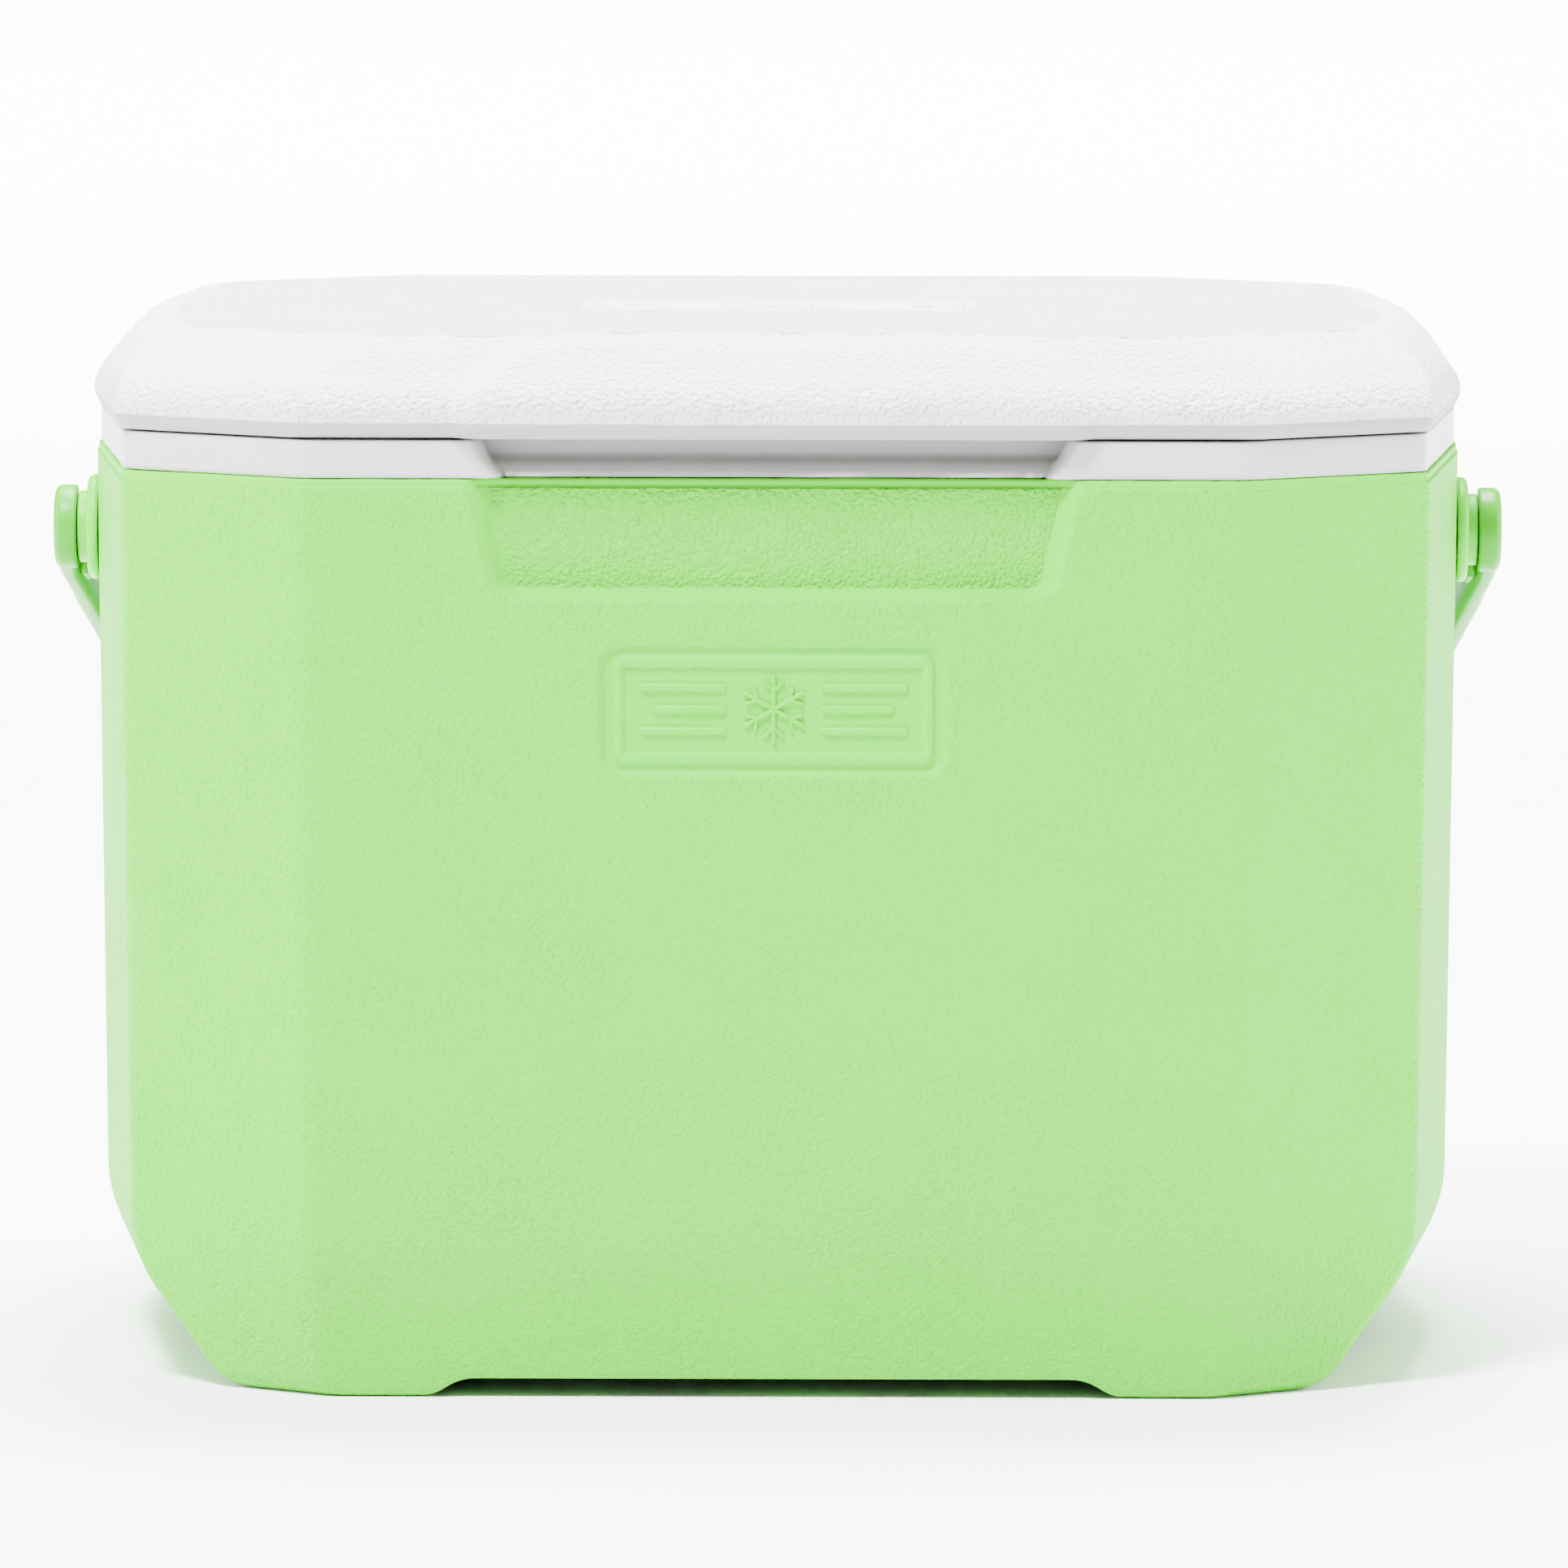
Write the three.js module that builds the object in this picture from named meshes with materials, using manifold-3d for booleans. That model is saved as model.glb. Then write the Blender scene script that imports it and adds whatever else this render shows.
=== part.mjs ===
// A hard-sided personal cooler of about 15 litres: a blow-moulded green shell, a white food liner
// with a standing rim, foam between the two, an insulated white lid on two back hinges, and a
// one-piece bail handle that swings on a pivot at each end of the shell.
//
// Millimetres, +X to the right, +Y to the back, +Z up. The shell is laid out about its own middle
// on the floor, and the last lines centre the whole object, with its bail stowed behind, on the origin.

import * as THREE from 'three';
import { mergeVertices } from 'three/addons/utils/BufferGeometryUtils.js';
import Module from 'manifold-3d';

const wasm = await Module();
wasm.setup();

// ---- Driving dimensions -------------------------------------------------------------------------

const GAP = 0.3;                 // between pieces that touch
const FAR = 260;                 // beyond every face, for the sides of a cutting box
const WALL = 2.2;                // moulded skins of the shell and the lid
const LINER_WALL = 1.9;

// The plan outline at the shell's top edge, front right quarter: a flat panel, a bevel, a side facet
// and a short flat flank. The other quarters mirror it.
const HALF_WIDTH = 200;
const HALF_DEPTH = 140;
const PANEL_HALF = 134;          // the flat middle of the front and the back
const CORNER_X = 186.5;          // where the bevel meets the side facet
const CORNER_Y = 111;
const FLANK_HALF = 15;           // the flat middle of each side
const OUTLINE_RADII = [14, 6, 30];   // at the panel's edge, at the corner and at the flank

const SHELL_TOP = 264;
const RIM_TOP = 275;
const LID_BOTTOM = 275.6;
const LID_TOP = 303;
const SIDE_DRAFT = 0.009;        // how much each wall leans in for each millimetre down
const FRONT_DRAFT = 0.004;

// How the walls tuck in towards the floor: a soft bend, a straight slope and a rounded foot edge.
const SIDE_TUCK = { from: 50, angle: 34.5, bend: 40.6, foot: 16 };
const FRONT_TUCK = { from: 44.5, angle: 7.5, bend: 24, foot: 3.5 };
const BEVEL_TUCK = { from: 44.5, angle: 9, bend: 40, foot: 6 };

const ARCH_HALF_X = 98;          // the channel between the left and right feet
const ARCH_HALF_Y = 70;          // the channel between the front and back feet
const ARCH_HEIGHT = 5.4;
const ARCH_RUN = 8.5;            // the sloping side of a channel
const ARCH_KNEE = [0.6, 3.6];    // heights where a channel's side starts to slope and eases off

// The finger recess at the top of the front panel: half widths, depth, and the heights of its sill.
const RECESS = { top: 86, bottom: 79, flare: 4.6, depth: 5.7, sill: 230, ledge: 2.9 };
// The notch in the rim above it: its sill's height, rise and inner end, and where its back stands.
const RIM_RECESS = { half: 82, back: 128, floor: 265.4, rise: 2.8, shelf: 132, step: 1.2 };

// Oblong emblem panels, sunk in the front and in the lid, with a raised frame inside.
const BADGE = {
  halfWidth: 49.3, halfHeight: 19.2, z: 198.8, depth: 1.6, corner: 7, inset: 4, frame: 2.6, raised: 1.2,
};
const LID_BADGE = { halfWidth: 59, halfHeight: 22, y: 2, depth: 1.2, corner: 8 };

// The tub inside the liner, at its mouth and at its floor.
const TUB = { mouthX: 168, mouthY: 107, floorX: 156, floorY: 96, floorZ: 36, corner: 24, floorRound: 9 };
const PLUG_CLEARANCE = 2.2;      // round the lid's plug in the tub's mouth
const PLUG_DEPTH = 12;
const RIM_INSET = 1.2;           // the white rim stands in from the shell's edge

// The lid's outer form: height, then how far in the front, bevel, side facet and flank stand.
const LID_LEVELS = [
  [LID_BOTTOM, 2.5, 1.5, 0.5, 1.0],
  [278.0, -0.5, -0.5, -0.8, 0.1],
  [280.0, -1.0, -1.0, -1.2, -0.3],
  [284.0, -0.2, 0.0, -0.8, 0.6],
  [289.0, 4.0, 4.5, 0.6, 3.8],
  [293.0, 9.0, 10.0, 3.2, 6.8],
  [297.0, 14.0, 16.5, 7.0, 10.8],
  [300.0, 18.0, 22.0, 11.0, 14.5],
  [302.0, 21.0, 25.5, 16.0, 19.5],
  [LID_TOP, 24.0, 29.0, 22.0, 25.0],
];

// The finger lip in the middle of the lid's front: height, half width, and how far forward it stands.
const LIP_LEVELS = [
  [LID_BOTTOM - 0.3, 90.0, 141.5],
  [278.0, 91.5, 144.6],
  [284.0, 91.0, 144.0],
  [289.0, 89.0, 140.6],
  [293.0, 85.5, 136.4],
  [297.0, 81.0, 131.6],
  [301.0, 74.0, 126.4],
  [303.4, 68.0, 121.8],
  [304.4, 64.0, 117.5],
];
const LIP_BACK = 92;

// Hinges on the back.
const HINGE = { x: 105, halfWidth: 22, y: 145.2, z: 275.6, knuckle: 3.8, centre: 6.8, pin: 1.6 };
const LEAF = {
  thick: 2.2, bodyLow: 240, bodyHigh: 271,
  lidLow: 277.5, lidSeat: 279.9, lidStep: 281, lidHigh: 288.4, lidY: 137.9,
};
const HINGE_HEAD = { radius: 2.9, thick: 1.1, overrun: 0.5 };   // the pin's peened ends
const POCKET = { y: 137.6, half: 24 };
const SCREW = { shank: 1.75, length: 13, head: 3.1, headThick: 1.7, spread: 13, bodyZ: 252, lidZ: 285 };
const SLOT = { half: 2.0, thin: 0.4, deep: 0.7 };               // the driver slot in a screw head

// The bail and its pivots.
const PIVOT_Z = 237;
const STOW_ANGLE = 23.4;         // degrees below level, behind the shell
const BAIL = {
  innerFace: 206.7, thick: 6.7, eye: 12.4, lean: 0.106, leanFrom: 12,
  grip: 165, gripThick: 14, gripHeight: 24, armHeight: 23, corner: 26,
};
const BORE = 6.3;
// The step on each arm's inner face: how far in it stands, its heights, and where it runs along the arm.
const ARM_STEP = { stand: 2.7, low: -11, high: -2, slope: 1, from: 12.5, to: 24 };
const PIN = { shank: 6.0, head: 8.7, headThick: 2.1, sink: 2.5 };
const BOSS = { flange: 15.5, flangeOut: 203.6, neck: 10.6, neckOut: 206.4, inner: 200.25 };
const RETAINER = { radius: 11, thick: 2.4, outer: 196.7 };
const PIN_END = 191;

// ---- Solids -------------------------------------------------------------------------------------

function solidOf(geometry) {
  const bare = geometry.clone();
  bare.deleteAttribute('normal');
  bare.deleteAttribute('uv');
  const merged = mergeVertices(bare, 1e-4);
  return new wasm.Manifold(new wasm.Mesh({
    numProp: 3,
    vertProperties: new Float32Array(merged.attributes.position.array),
    triVerts: new Uint32Array(merged.index.array),
  }));
}

function geometryOf(solid) {
  const mesh = solid.getMesh();
  const geometry = new THREE.BufferGeometry();
  geometry.setAttribute('position', new THREE.BufferAttribute(mesh.vertProperties, 3));
  geometry.setIndex(new THREE.BufferAttribute(mesh.triVerts, 1));
  geometry.computeVertexNormals();
  return geometry;
}

// A closed body through rings of equal length, each ring anticlockwise seen from where it leads.
function loft(rings) {
  const count = rings[0].length;
  const positions = rings.flat().flatMap((p) => [p.x, p.y, p.z]);
  const index = [];
  for (let i = 0; i + 1 < rings.length; i += 1) {
    for (let j = 0; j < count; j += 1) {
      const a = i * count + j;
      const b = i * count + ((j + 1) % count);
      index.push(a, b, b + count, a, b + count, a + count);
    }
  }
  const last = (rings.length - 1) * count;
  for (let j = 1; j + 1 < count; j += 1) {
    index.push(0, j + 1, j, last, last + j, last + j + 1);
  }
  const geometry = new THREE.BufferGeometry();
  geometry.setAttribute('position', new THREE.Float32BufferAttribute(positions, 3));
  geometry.setIndex(index);
  return solidOf(geometry);
}

function extrude(points, depth) {
  const shape = new THREE.Shape(points.map(([u, v]) => new THREE.Vector2(u, v)));
  return new THREE.ExtrudeGeometry(shape, { depth, bevelEnabled: false, steps: 1 });
}

// A prism along Y of an outline in x and z, from yLow to yHigh.
function prismY(points, yLow, yHigh) {
  const geometry = extrude(points, yHigh - yLow);
  return solidOf(geometry.rotateX(Math.PI / 2).translate(0, yHigh, 0));
}

// A prism along X of an outline in y and z, from xLow to xHigh.
function prismX(points, xLow, xHigh) {
  const turn = new THREE.Matrix4().makeBasis(
    new THREE.Vector3(0, 1, 0), new THREE.Vector3(0, 0, 1), new THREE.Vector3(1, 0, 0));
  return solidOf(extrude(points, xHigh - xLow).applyMatrix4(turn).translate(xLow, 0, 0));
}

function box(low, high) {
  const geometry = new THREE.BoxGeometry(high[0] - low[0], high[1] - low[1], high[2] - low[2]);
  return solidOf(geometry.translate(...low.map((v, i) => (v + high[i]) / 2)));
}

// A turned body on an axis along X: profile points are [radius, x], rising in x, from axis to axis.
function turnedX(profile, side, y, z, segments) {
  const geometry = new THREE.LatheGeometry(profile.map(([r, x]) => new THREE.Vector2(r, x)), segments);
  return solidOf(geometry.rotateZ(-side * Math.PI / 2).translate(0, y, z));
}

function rodX(radius, side, xLow, xHigh, y, z, segments) {
  return turnedX([[0, xLow], [radius, xLow], [radius, xHigh], [0, xHigh]], side, y, z, segments);
}

// A rod along Y, for screws and their holes.
function rodY(radius, x, yLow, yHigh, z, segments) {
  const geometry = new THREE.CylinderGeometry(radius, radius, yHigh - yLow, segments);
  return solidOf(geometry.translate(x, (yLow + yHigh) / 2, z));
}

// ---- Outlines -----------------------------------------------------------------------------------

// A polygon with each corner turned into an arc of its own radius, with a fixed number of points.
function roundedLoop(points, radii, steps) {
  const loop = [];
  points.forEach((corner, i) => {
    const before = points[(i + points.length - 1) % points.length];
    const after = points[(i + 1) % points.length];
    const u = before.clone().sub(corner);
    const v = after.clone().sub(corner);
    const half = u.angleTo(v) / 2;
    const reach = Math.min(radii[i] / Math.tan(half), 0.45 * u.length(), 0.45 * v.length());
    const radius = reach * Math.tan(half);
    const centre = u.clone().normalize().add(v.clone().normalize()).normalize();
    centre.multiplyScalar(radius / Math.sin(half)).add(corner);
    const from = u.normalize().multiplyScalar(reach).add(corner).sub(centre);
    const to = v.normalize().multiplyScalar(reach).add(corner).sub(centre);
    const sweep = Math.PI - 2 * half;
    for (let k = 0; k <= steps[i]; k += 1) {
      const t = (k / steps[i]) * sweep;
      const a = Math.sin(sweep - t) / Math.sin(sweep);
      const b = Math.sin(t) / Math.sin(sweep);
      loop.push(new THREE.Vector2(
        centre.x + a * from.x + b * to.x, centre.y + a * from.y + b * to.y));
    }
  });
  return loop;
}

const atHeight = (loop, z) => loop.map((p) => new THREE.Vector3(p.x, p.y, z));

function meet(lineA, lineB) {
  const det = lineA.n.x * lineB.n.y - lineA.n.y * lineB.n.x;
  return new THREE.Vector2(
    (lineA.d * lineB.n.y - lineA.n.y * lineB.d) / det,
    (lineA.n.x * lineB.d - lineA.d * lineB.n.x) / det);
}

function lineThrough(x0, y0, x1, y1) {
  const n = new THREE.Vector2(y1 - y0, x0 - x1).normalize();
  return { n, d: n.x * x0 + n.y * y0 };
}

const PLAN_LINES = [
  lineThrough(0, -HALF_DEPTH, PANEL_HALF, -HALF_DEPTH),
  lineThrough(PANEL_HALF, -HALF_DEPTH, CORNER_X, -CORNER_Y),
  lineThrough(CORNER_X, -CORNER_Y, HALF_WIDTH, -FLANK_HALF),
  lineThrough(HALF_WIDTH, -FLANK_HALF, HALF_WIDTH, FLANK_HALF),
];

// The plan outline with its front, bevel, side facet and flank lines moved in by the four insets.
function planLoop(insets) {
  const lines = PLAN_LINES.map((line, i) => ({ n: line.n, d: line.d - insets[i] }));
  const quarter = [meet(lines[0], lines[1]), meet(lines[1], lines[2]), meet(lines[2], lines[3])];
  const mirrored = (sx, sy, list) => list.map((p) => new THREE.Vector2(sx * p.x, sy * p.y));
  const back = [...quarter].reverse();
  const points = [
    ...quarter, ...mirrored(1, -1, back), ...mirrored(-1, -1, quarter), ...mirrored(-1, 1, back)];
  const radii = OUTLINE_RADII;
  const corners = [...radii, ...[...radii].reverse(), ...radii, ...[...radii].reverse()];
  const counts = [1, 2, 1, 1, 2, 1, 1, 2, 1, 1, 2, 1];
  return roundedLoop(points, corners, counts);
}

// How far a wall has tucked in at height z.
function tuckAt(z, tuck) {
  const angle = THREE.MathUtils.degToRad(tuck.angle);
  const bendEnd = tuck.from - tuck.bend * Math.sin(angle);
  const footStart = tuck.foot * (1 - Math.sin(angle));
  if (z >= tuck.from) return 0;
  if (z >= bendEnd) return tuck.bend - Math.sqrt(tuck.bend ** 2 - (tuck.from - z) ** 2);
  const bent = tuck.bend * (1 - Math.cos(angle));
  if (z >= footStart) return bent + (bendEnd - z) * Math.tan(angle);
  const straight = (bendEnd - footStart) * Math.tan(angle);
  const swing = Math.acos(Math.min(1, 1 - z / tuck.foot));
  return bent + straight + tuck.foot * (Math.cos(angle) - Math.sin(swing));
}

function shellLoop(z, inset) {
  const down = SHELL_TOP - z;
  const side = SIDE_DRAFT * down + tuckAt(z, SIDE_TUCK) + inset;
  const front = FRONT_DRAFT * down + tuckAt(z, FRONT_TUCK) + inset;
  const bevel = (SIDE_DRAFT + FRONT_DRAFT) / 2 * down + tuckAt(z, BEVEL_TUCK) + inset;
  return atHeight(planLoop([front, bevel, side, side]), z);
}

const LOW_LEVELS = [0.25, 1.5, 4, 7, 16, 27, 34, 42, 50];

// The shell's form between two heights, moved in by an inset.
function shellForm(inset, low, high) {
  const levels = LOW_LEVELS.filter((z) => z > low + 0.5 && z < high);
  return loft([low, ...levels, high].map((z) => shellLoop(z, inset)));
}

// ---- Features cut from the shell ----------------------------------------------------------------

// The sole of the shell between the feet: two crossing channels with sloping sides.
function soleChannels(grow) {
  const [start, ease] = ARCH_KNEE;
  const channel = (half) => {
    const right = [
      [half + grow, -3], [half + grow, start + grow],
      [half - ARCH_RUN * 0.4 + grow, ease + grow], [half - ARCH_RUN + grow, ARCH_HEIGHT + grow]];
    return [...right, ...[...right].reverse().map(([u, v]) => [-u, v])];
  };
  return prismY(channel(ARCH_HALF_X), -FAR, FAR).add(prismX(channel(ARCH_HALF_Y), -FAR, FAR));
}

// The finger recess: a shallow tray with flared sides and a sloping sill, open at the top edge.
function fingerRecess(grow) {
  const { top, bottom, flare, depth, sill, ledge } = RECESS;
  const ring = (half, halfLow, low, y) => [
    [-half, SHELL_TOP + 9], [-half, SHELL_TOP - 2], [-halfLow, low], [halfLow, low],
    [half, SHELL_TOP - 2], [half, SHELL_TOP + 9],
  ].map(([x, z]) => new THREE.Vector3(x, y, z));
  const reach = 6;
  const slope = flare / depth;
  const outer = ring(top + slope * reach + grow, bottom + slope * reach + grow,
    sill - ledge / depth * reach - grow, -HALF_DEPTH - reach);
  const inner = ring(top - flare + grow, bottom - flare + grow, sill + ledge - grow,
    -HALF_DEPTH + depth + grow);
  return loft([inner, outer]);
}

function oblong(halfWidth, halfHeight, corner, cx, cy) {
  const points = [[-1, -1], [1, -1], [1, 1], [-1, 1]]
    .map(([sx, sy]) => new THREE.Vector2(cx + sx * halfWidth, cy + sy * halfHeight));
  return roundedLoop(points, [corner, corner, corner, corner], [3, 3, 3, 3]);
}

const asPairs = (loop) => loop.map((p) => [p.x, p.y]);

const BADGE_FLOOR = -HALF_DEPTH + FRONT_DRAFT * (SHELL_TOP - BADGE.z) + BADGE.depth;

function badgePanel(step) {
  const { halfWidth, halfHeight, corner, z } = BADGE;
  return asPairs(oblong(halfWidth - step, halfHeight - step, Math.max(1, corner - step * 0.6), 0, z));
}

// The sunk panel on the front, which the wall behind it follows when it is grown.
function badgeSink(grow) {
  return prismY(badgePanel(-grow), -HALF_DEPTH - 5, BADGE_FLOOR + grow);
}

// The frame that stands up inside the sunk panel.
function badgeFrame() {
  const { inset, frame, raised } = BADGE;
  return prismY(badgePanel(inset), BADGE_FLOOR - raised, BADGE_FLOOR + 0.4)
    .subtract(prismY(badgePanel(inset + frame), BADGE_FLOOR - raised - 1, BADGE_FLOOR + 1));
}

// ---- Shell, foam and liner ----------------------------------------------------------------------

const SHELL_LIP = { low: 261.4, height: 2.1, step: 0.5, flange: 5.6 };

function pivotHole(side) {
  return rodX(BORE, side, PIN_END - 1, HALF_WIDTH + 2, 0, PIVOT_Z, 24);
}

const hingeSides = [['left', -1], ['right', 1]];
const bodyScrews = hingeSides.flatMap(([name, side]) => [-1, 1].map((end) => (
  {
    name: `hinge_body_screw_${name}_${end < 0 ? 'a' : 'b'}`,
    x: side * HINGE.x + end * SCREW.spread,
    z: SCREW.bodyZ,
  }
)));
const lidScrews = hingeSides.flatMap(([name, side]) => [-1, 1].map((end) => (
  {
    name: `hinge_lid_screw_${name}_${end < 0 ? 'a' : 'b'}`,
    x: side * HINGE.x + end * SCREW.spread,
    z: SCREW.lidZ,
  }
)));
const BODY_LEAF_OUT = HALF_DEPTH + GAP + LEAF.thick;
const LID_LEAF_OUT = LEAF.lidY + LEAF.thick;

function screwHole(screw, out) {
  return rodY(SCREW.shank + GAP, screw.x, out - SCREW.length - GAP - LEAF.thick, out + 1, screw.z, 12);
}

// The room between the shell's skin and the liner, less a margin all round.
function shellCavity(margin) {
  const inset = WALL + margin;
  const room = shellForm(inset, WALL + margin, SHELL_LIP.low - margin);
  const { low, flange } = SHELL_LIP;
  const neck = loft([low - 4, SHELL_TOP + 1].map((z) => shellLoop(z, flange + margin)));
  return room.add(neck).subtract(soleChannels(inset)).subtract(fingerRecess(inset))
    .subtract(badgeSink(inset));
}

function outerShell() {
  const { low, height, step } = SHELL_LIP;
  const rings = [0, ...LOW_LEVELS].map((z) => shellLoop(z, 0));
  rings.push(shellLoop(low, 0), shellLoop(low + 0.5, step), shellLoop(low + height, step + 0.1));
  rings.push(shellLoop(SHELL_TOP, step + 0.8));
  let shell = loft(rings).subtract(soleChannels(0)).subtract(fingerRecess(0));
  shell = shell.subtract(badgeSink(0)).add(badgeFrame()).subtract(shellCavity(0));
  for (const [, side] of hingeSides) shell = shell.subtract(pivotHole(side));
  for (const screw of bodyScrews) shell = shell.subtract(screwHole(screw, BODY_LEAF_OUT));
  return shell;
}

// The tub at height z, as a rounded oblong moved out by grow.
function tubLoop(z, grow) {
  const share = (z - TUB.floorZ) / (RIM_TOP - TUB.floorZ);
  const halfX = THREE.MathUtils.lerp(TUB.floorX, TUB.mouthX, share) + grow;
  const halfY = THREE.MathUtils.lerp(TUB.floorY, TUB.mouthY, share) + grow;
  const corner = TUB.corner + grow;
  return (inward) => atHeight(oblong(halfX - inward, halfY - inward, corner - inward * 0.5, 0, 0), z);
}

// The tub's form with a rounded floor edge, grown outward and downward, up to a height.
function tubForm(grow, top) {
  const round = TUB.floorRound;
  const floor = TUB.floorZ - grow;
  const rings = [0, 35, 65, 90].map((degrees) => {
    const angle = THREE.MathUtils.degToRad(degrees);
    const z = floor + round * (1 - Math.cos(angle));
    return tubLoop(z, grow)(round * (1 - Math.sin(angle)));
  });
  return loft([...rings, tubLoop(top, grow)(0)]);
}

// The notch in the middle of the rim, behind the finger recess: a sloping sill, then an upright back.
function rimNotch(grow) {
  const { half, back, floor, rise, shelf, step } = RIM_RECESS;
  const outline = [
    [-FAR, floor - grow], [-HALF_DEPTH + RECESS.depth + RIM_INSET, floor - grow],
    [-shelf + grow, floor + rise - grow], [-back + grow, floor + rise + step - grow],
    [-back + grow, RIM_TOP + 2], [-FAR, RIM_TOP + 2]];
  return prismX(outline, -half - grow, half + grow);
}

// The front of the rim steps back with the finger recess below it.
function rimSetBack(grow) {
  const front = -HALF_DEPTH + RECESS.depth + RIM_INSET + grow;
  return box([-RECESS.top - grow, -FAR, SHELL_TOP - 2], [RECESS.top + grow, front, RIM_TOP + 2]);
}

function rimForm(inset, low, high) {
  const form = loft([low, high].map((z) => atHeight(planLoop([inset, inset, inset, inset]), z)));
  return form.subtract(rimNotch(inset - RIM_INSET)).subtract(rimSetBack(inset - RIM_INSET));
}

function innerLiner() {
  const low = SHELL_TOP + GAP;
  const block = loft([[low, 0], [RIM_TOP - 0.8, 0], [RIM_TOP, 0.8]].map(
    ([z, step]) => atHeight(planLoop([0, 0, 0, 0].map(() => RIM_INSET + step)), z)));
  const rim = block.subtract(rimNotch(0)).subtract(rimSetBack(0));
  const pocket = rimForm(RIM_INSET + LINER_WALL, low - 1, RIM_TOP - LINER_WALL);
  const tub = tubForm(LINER_WALL, RIM_TOP);
  return rim.subtract(pocket).add(tub).subtract(tubForm(0, RIM_TOP + 1));
}

function bodyFoam() {
  const neck = rimForm(SHELL_LIP.flange + GAP, SHELL_TOP - 6, RIM_TOP - LINER_WALL - GAP);
  let foam = shellCavity(GAP).subtract(box([-FAR, -FAR, SHELL_TOP - 1], [FAR, FAR, SHELL_TOP + 4]));
  foam = foam.add(neck.subtract(fingerRecess(WALL + GAP)));
  foam = foam.subtract(tubForm(LINER_WALL + GAP, RIM_TOP + 2));
  for (const [, side] of hingeSides) {
    foam = foam.subtract(pivotHole(side));
    foam = foam.subtract(rodX(RETAINER.radius + GAP, side, PIN_END - 1, HALF_WIDTH, 0, PIVOT_Z, 24));
  }
  for (const screw of bodyScrews) foam = foam.subtract(screwHole(screw, BODY_LEAF_OUT));
  return foam;
}

// ---- Lid ----------------------------------------------------------------------------------------

// The lid's outer form moved in by an inset; its top drops by the same amount.
function lidForm(inset, low) {
  const rings = LID_LEVELS.map(([z, ...insets]) => {
    const level = z === LID_BOTTOM ? low : z - inset * (z - LID_BOTTOM) / (LID_TOP - LID_BOTTOM);
    return atHeight(planLoop(insets.map((value) => value + inset)), level);
  });
  return loft(rings);
}

// The finger lip that stands forward in the middle of the lid's front.
function lidLip(low) {
  const rings = LIP_LEVELS.map(([z, half, front], i) => {
    const right = [[half - 9, front], [half - 3, front - 3], [half, front - 9], [half - 14, LIP_BACK]]
      .map(([x, y]) => new THREE.Vector2(x, -y));
    const left = [...right].reverse().map((p) => new THREE.Vector2(-p.x, p.y));
    return atHeight([...left, ...right], i ? z : low);
  });
  return loft(rings);
}

function hingePockets(grow) {
  const pockets = hingeSides.map(([, side]) => box(
    [side * HINGE.x - POCKET.half - grow, POCKET.y - grow, LID_BOTTOM - 3],
    [side * HINGE.x + POCKET.half + grow, HALF_DEPTH + 12, LID_TOP + 2]));
  return pockets[0].add(pockets[1]);
}

function lidCover() {
  const badgeLoop = oblong(LID_BADGE.halfWidth, LID_BADGE.halfHeight, LID_BADGE.corner, 0, LID_BADGE.y);
  const badge = loft([LID_TOP - LID_BADGE.depth, LID_TOP + 3].map((z) => atHeight(badgeLoop, z)));
  let cover = lidForm(0, LID_BOTTOM).add(lidLip(LID_BOTTOM)).subtract(hingePockets(0)).subtract(badge);
  const room = lidForm(WALL, LID_BOTTOM - 1).subtract(hingePockets(WALL));
  cover = cover.subtract(room);
  for (const screw of lidScrews) cover = cover.subtract(screwHole(screw, LID_LEAF_OUT));
  return cover;
}

const LID_TRAY = { low: RIM_TOP + GAP, high: 277.6, inset: WALL + GAP + 0.1 };

function plugForm(inset, low, high) {
  return loft([low, high].map((z) => tubLoop(z, -PLUG_CLEARANCE - inset)(0)));
}

function lidTray() {
  const { low, high, inset } = LID_TRAY;
  const edge = LID_LEVELS[0].slice(1).map((value) => value + inset);
  const plate = loft([low, high].map((z) => atHeight(planLoop(edge), z)));
  const plug = plugForm(0, RIM_TOP - PLUG_DEPTH, high);
  const hollow = plugForm(LINER_WALL, RIM_TOP - PLUG_DEPTH + LINER_WALL, high + 1);
  return plate.subtract(hingePockets(WALL + GAP)).add(plug).subtract(hollow);
}

function lidFoam() {
  const { high } = LID_TRAY;
  let foam = lidForm(WALL + GAP + 0.1, high + GAP).subtract(hingePockets(WALL + GAP));
  foam = foam.subtract(box([-FAR, -FAR, LID_BOTTOM - 5], [FAR, FAR, high + GAP]));
  foam = foam.add(plugForm(LINER_WALL + GAP, RIM_TOP - PLUG_DEPTH + LINER_WALL + GAP, high + 2));
  for (const screw of lidScrews) foam = foam.subtract(screwHole(screw, LID_LEAF_OUT));
  return foam;
}

// ---- Hinges -------------------------------------------------------------------------------------

function bodyLeaf(side) {
  const x = side * HINGE.x;
  const inner = HALF_DEPTH + GAP;
  const plate = box(
    [x - HINGE.halfWidth, inner, LEAF.bodyLow], [x + HINGE.halfWidth, BODY_LEAF_OUT, LEAF.bodyHigh]);
  const arm = prismX([
    [inner + 0.3, LEAF.bodyHigh - 2], [BODY_LEAF_OUT, LEAF.bodyHigh - 2],
    [HINGE.y + 2, HINGE.z - 2], [HINGE.y, HINGE.z], [inner + 1, HINGE.z],
  ], x - HINGE.centre, x + HINGE.centre);
  const knuckle = rodX(HINGE.knuckle, 1, x - HINGE.centre, x + HINGE.centre, HINGE.y, HINGE.z, 20);
  const bore = rodX(HINGE.pin + GAP, 1, x - 30, x + 30, HINGE.y, HINGE.z, 16);
  let leaf = plate.add(arm).add(knuckle).subtract(bore);
  for (const screw of bodyScrews) leaf = leaf.subtract(screwHole(screw, BODY_LEAF_OUT));
  return leaf;
}

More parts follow.
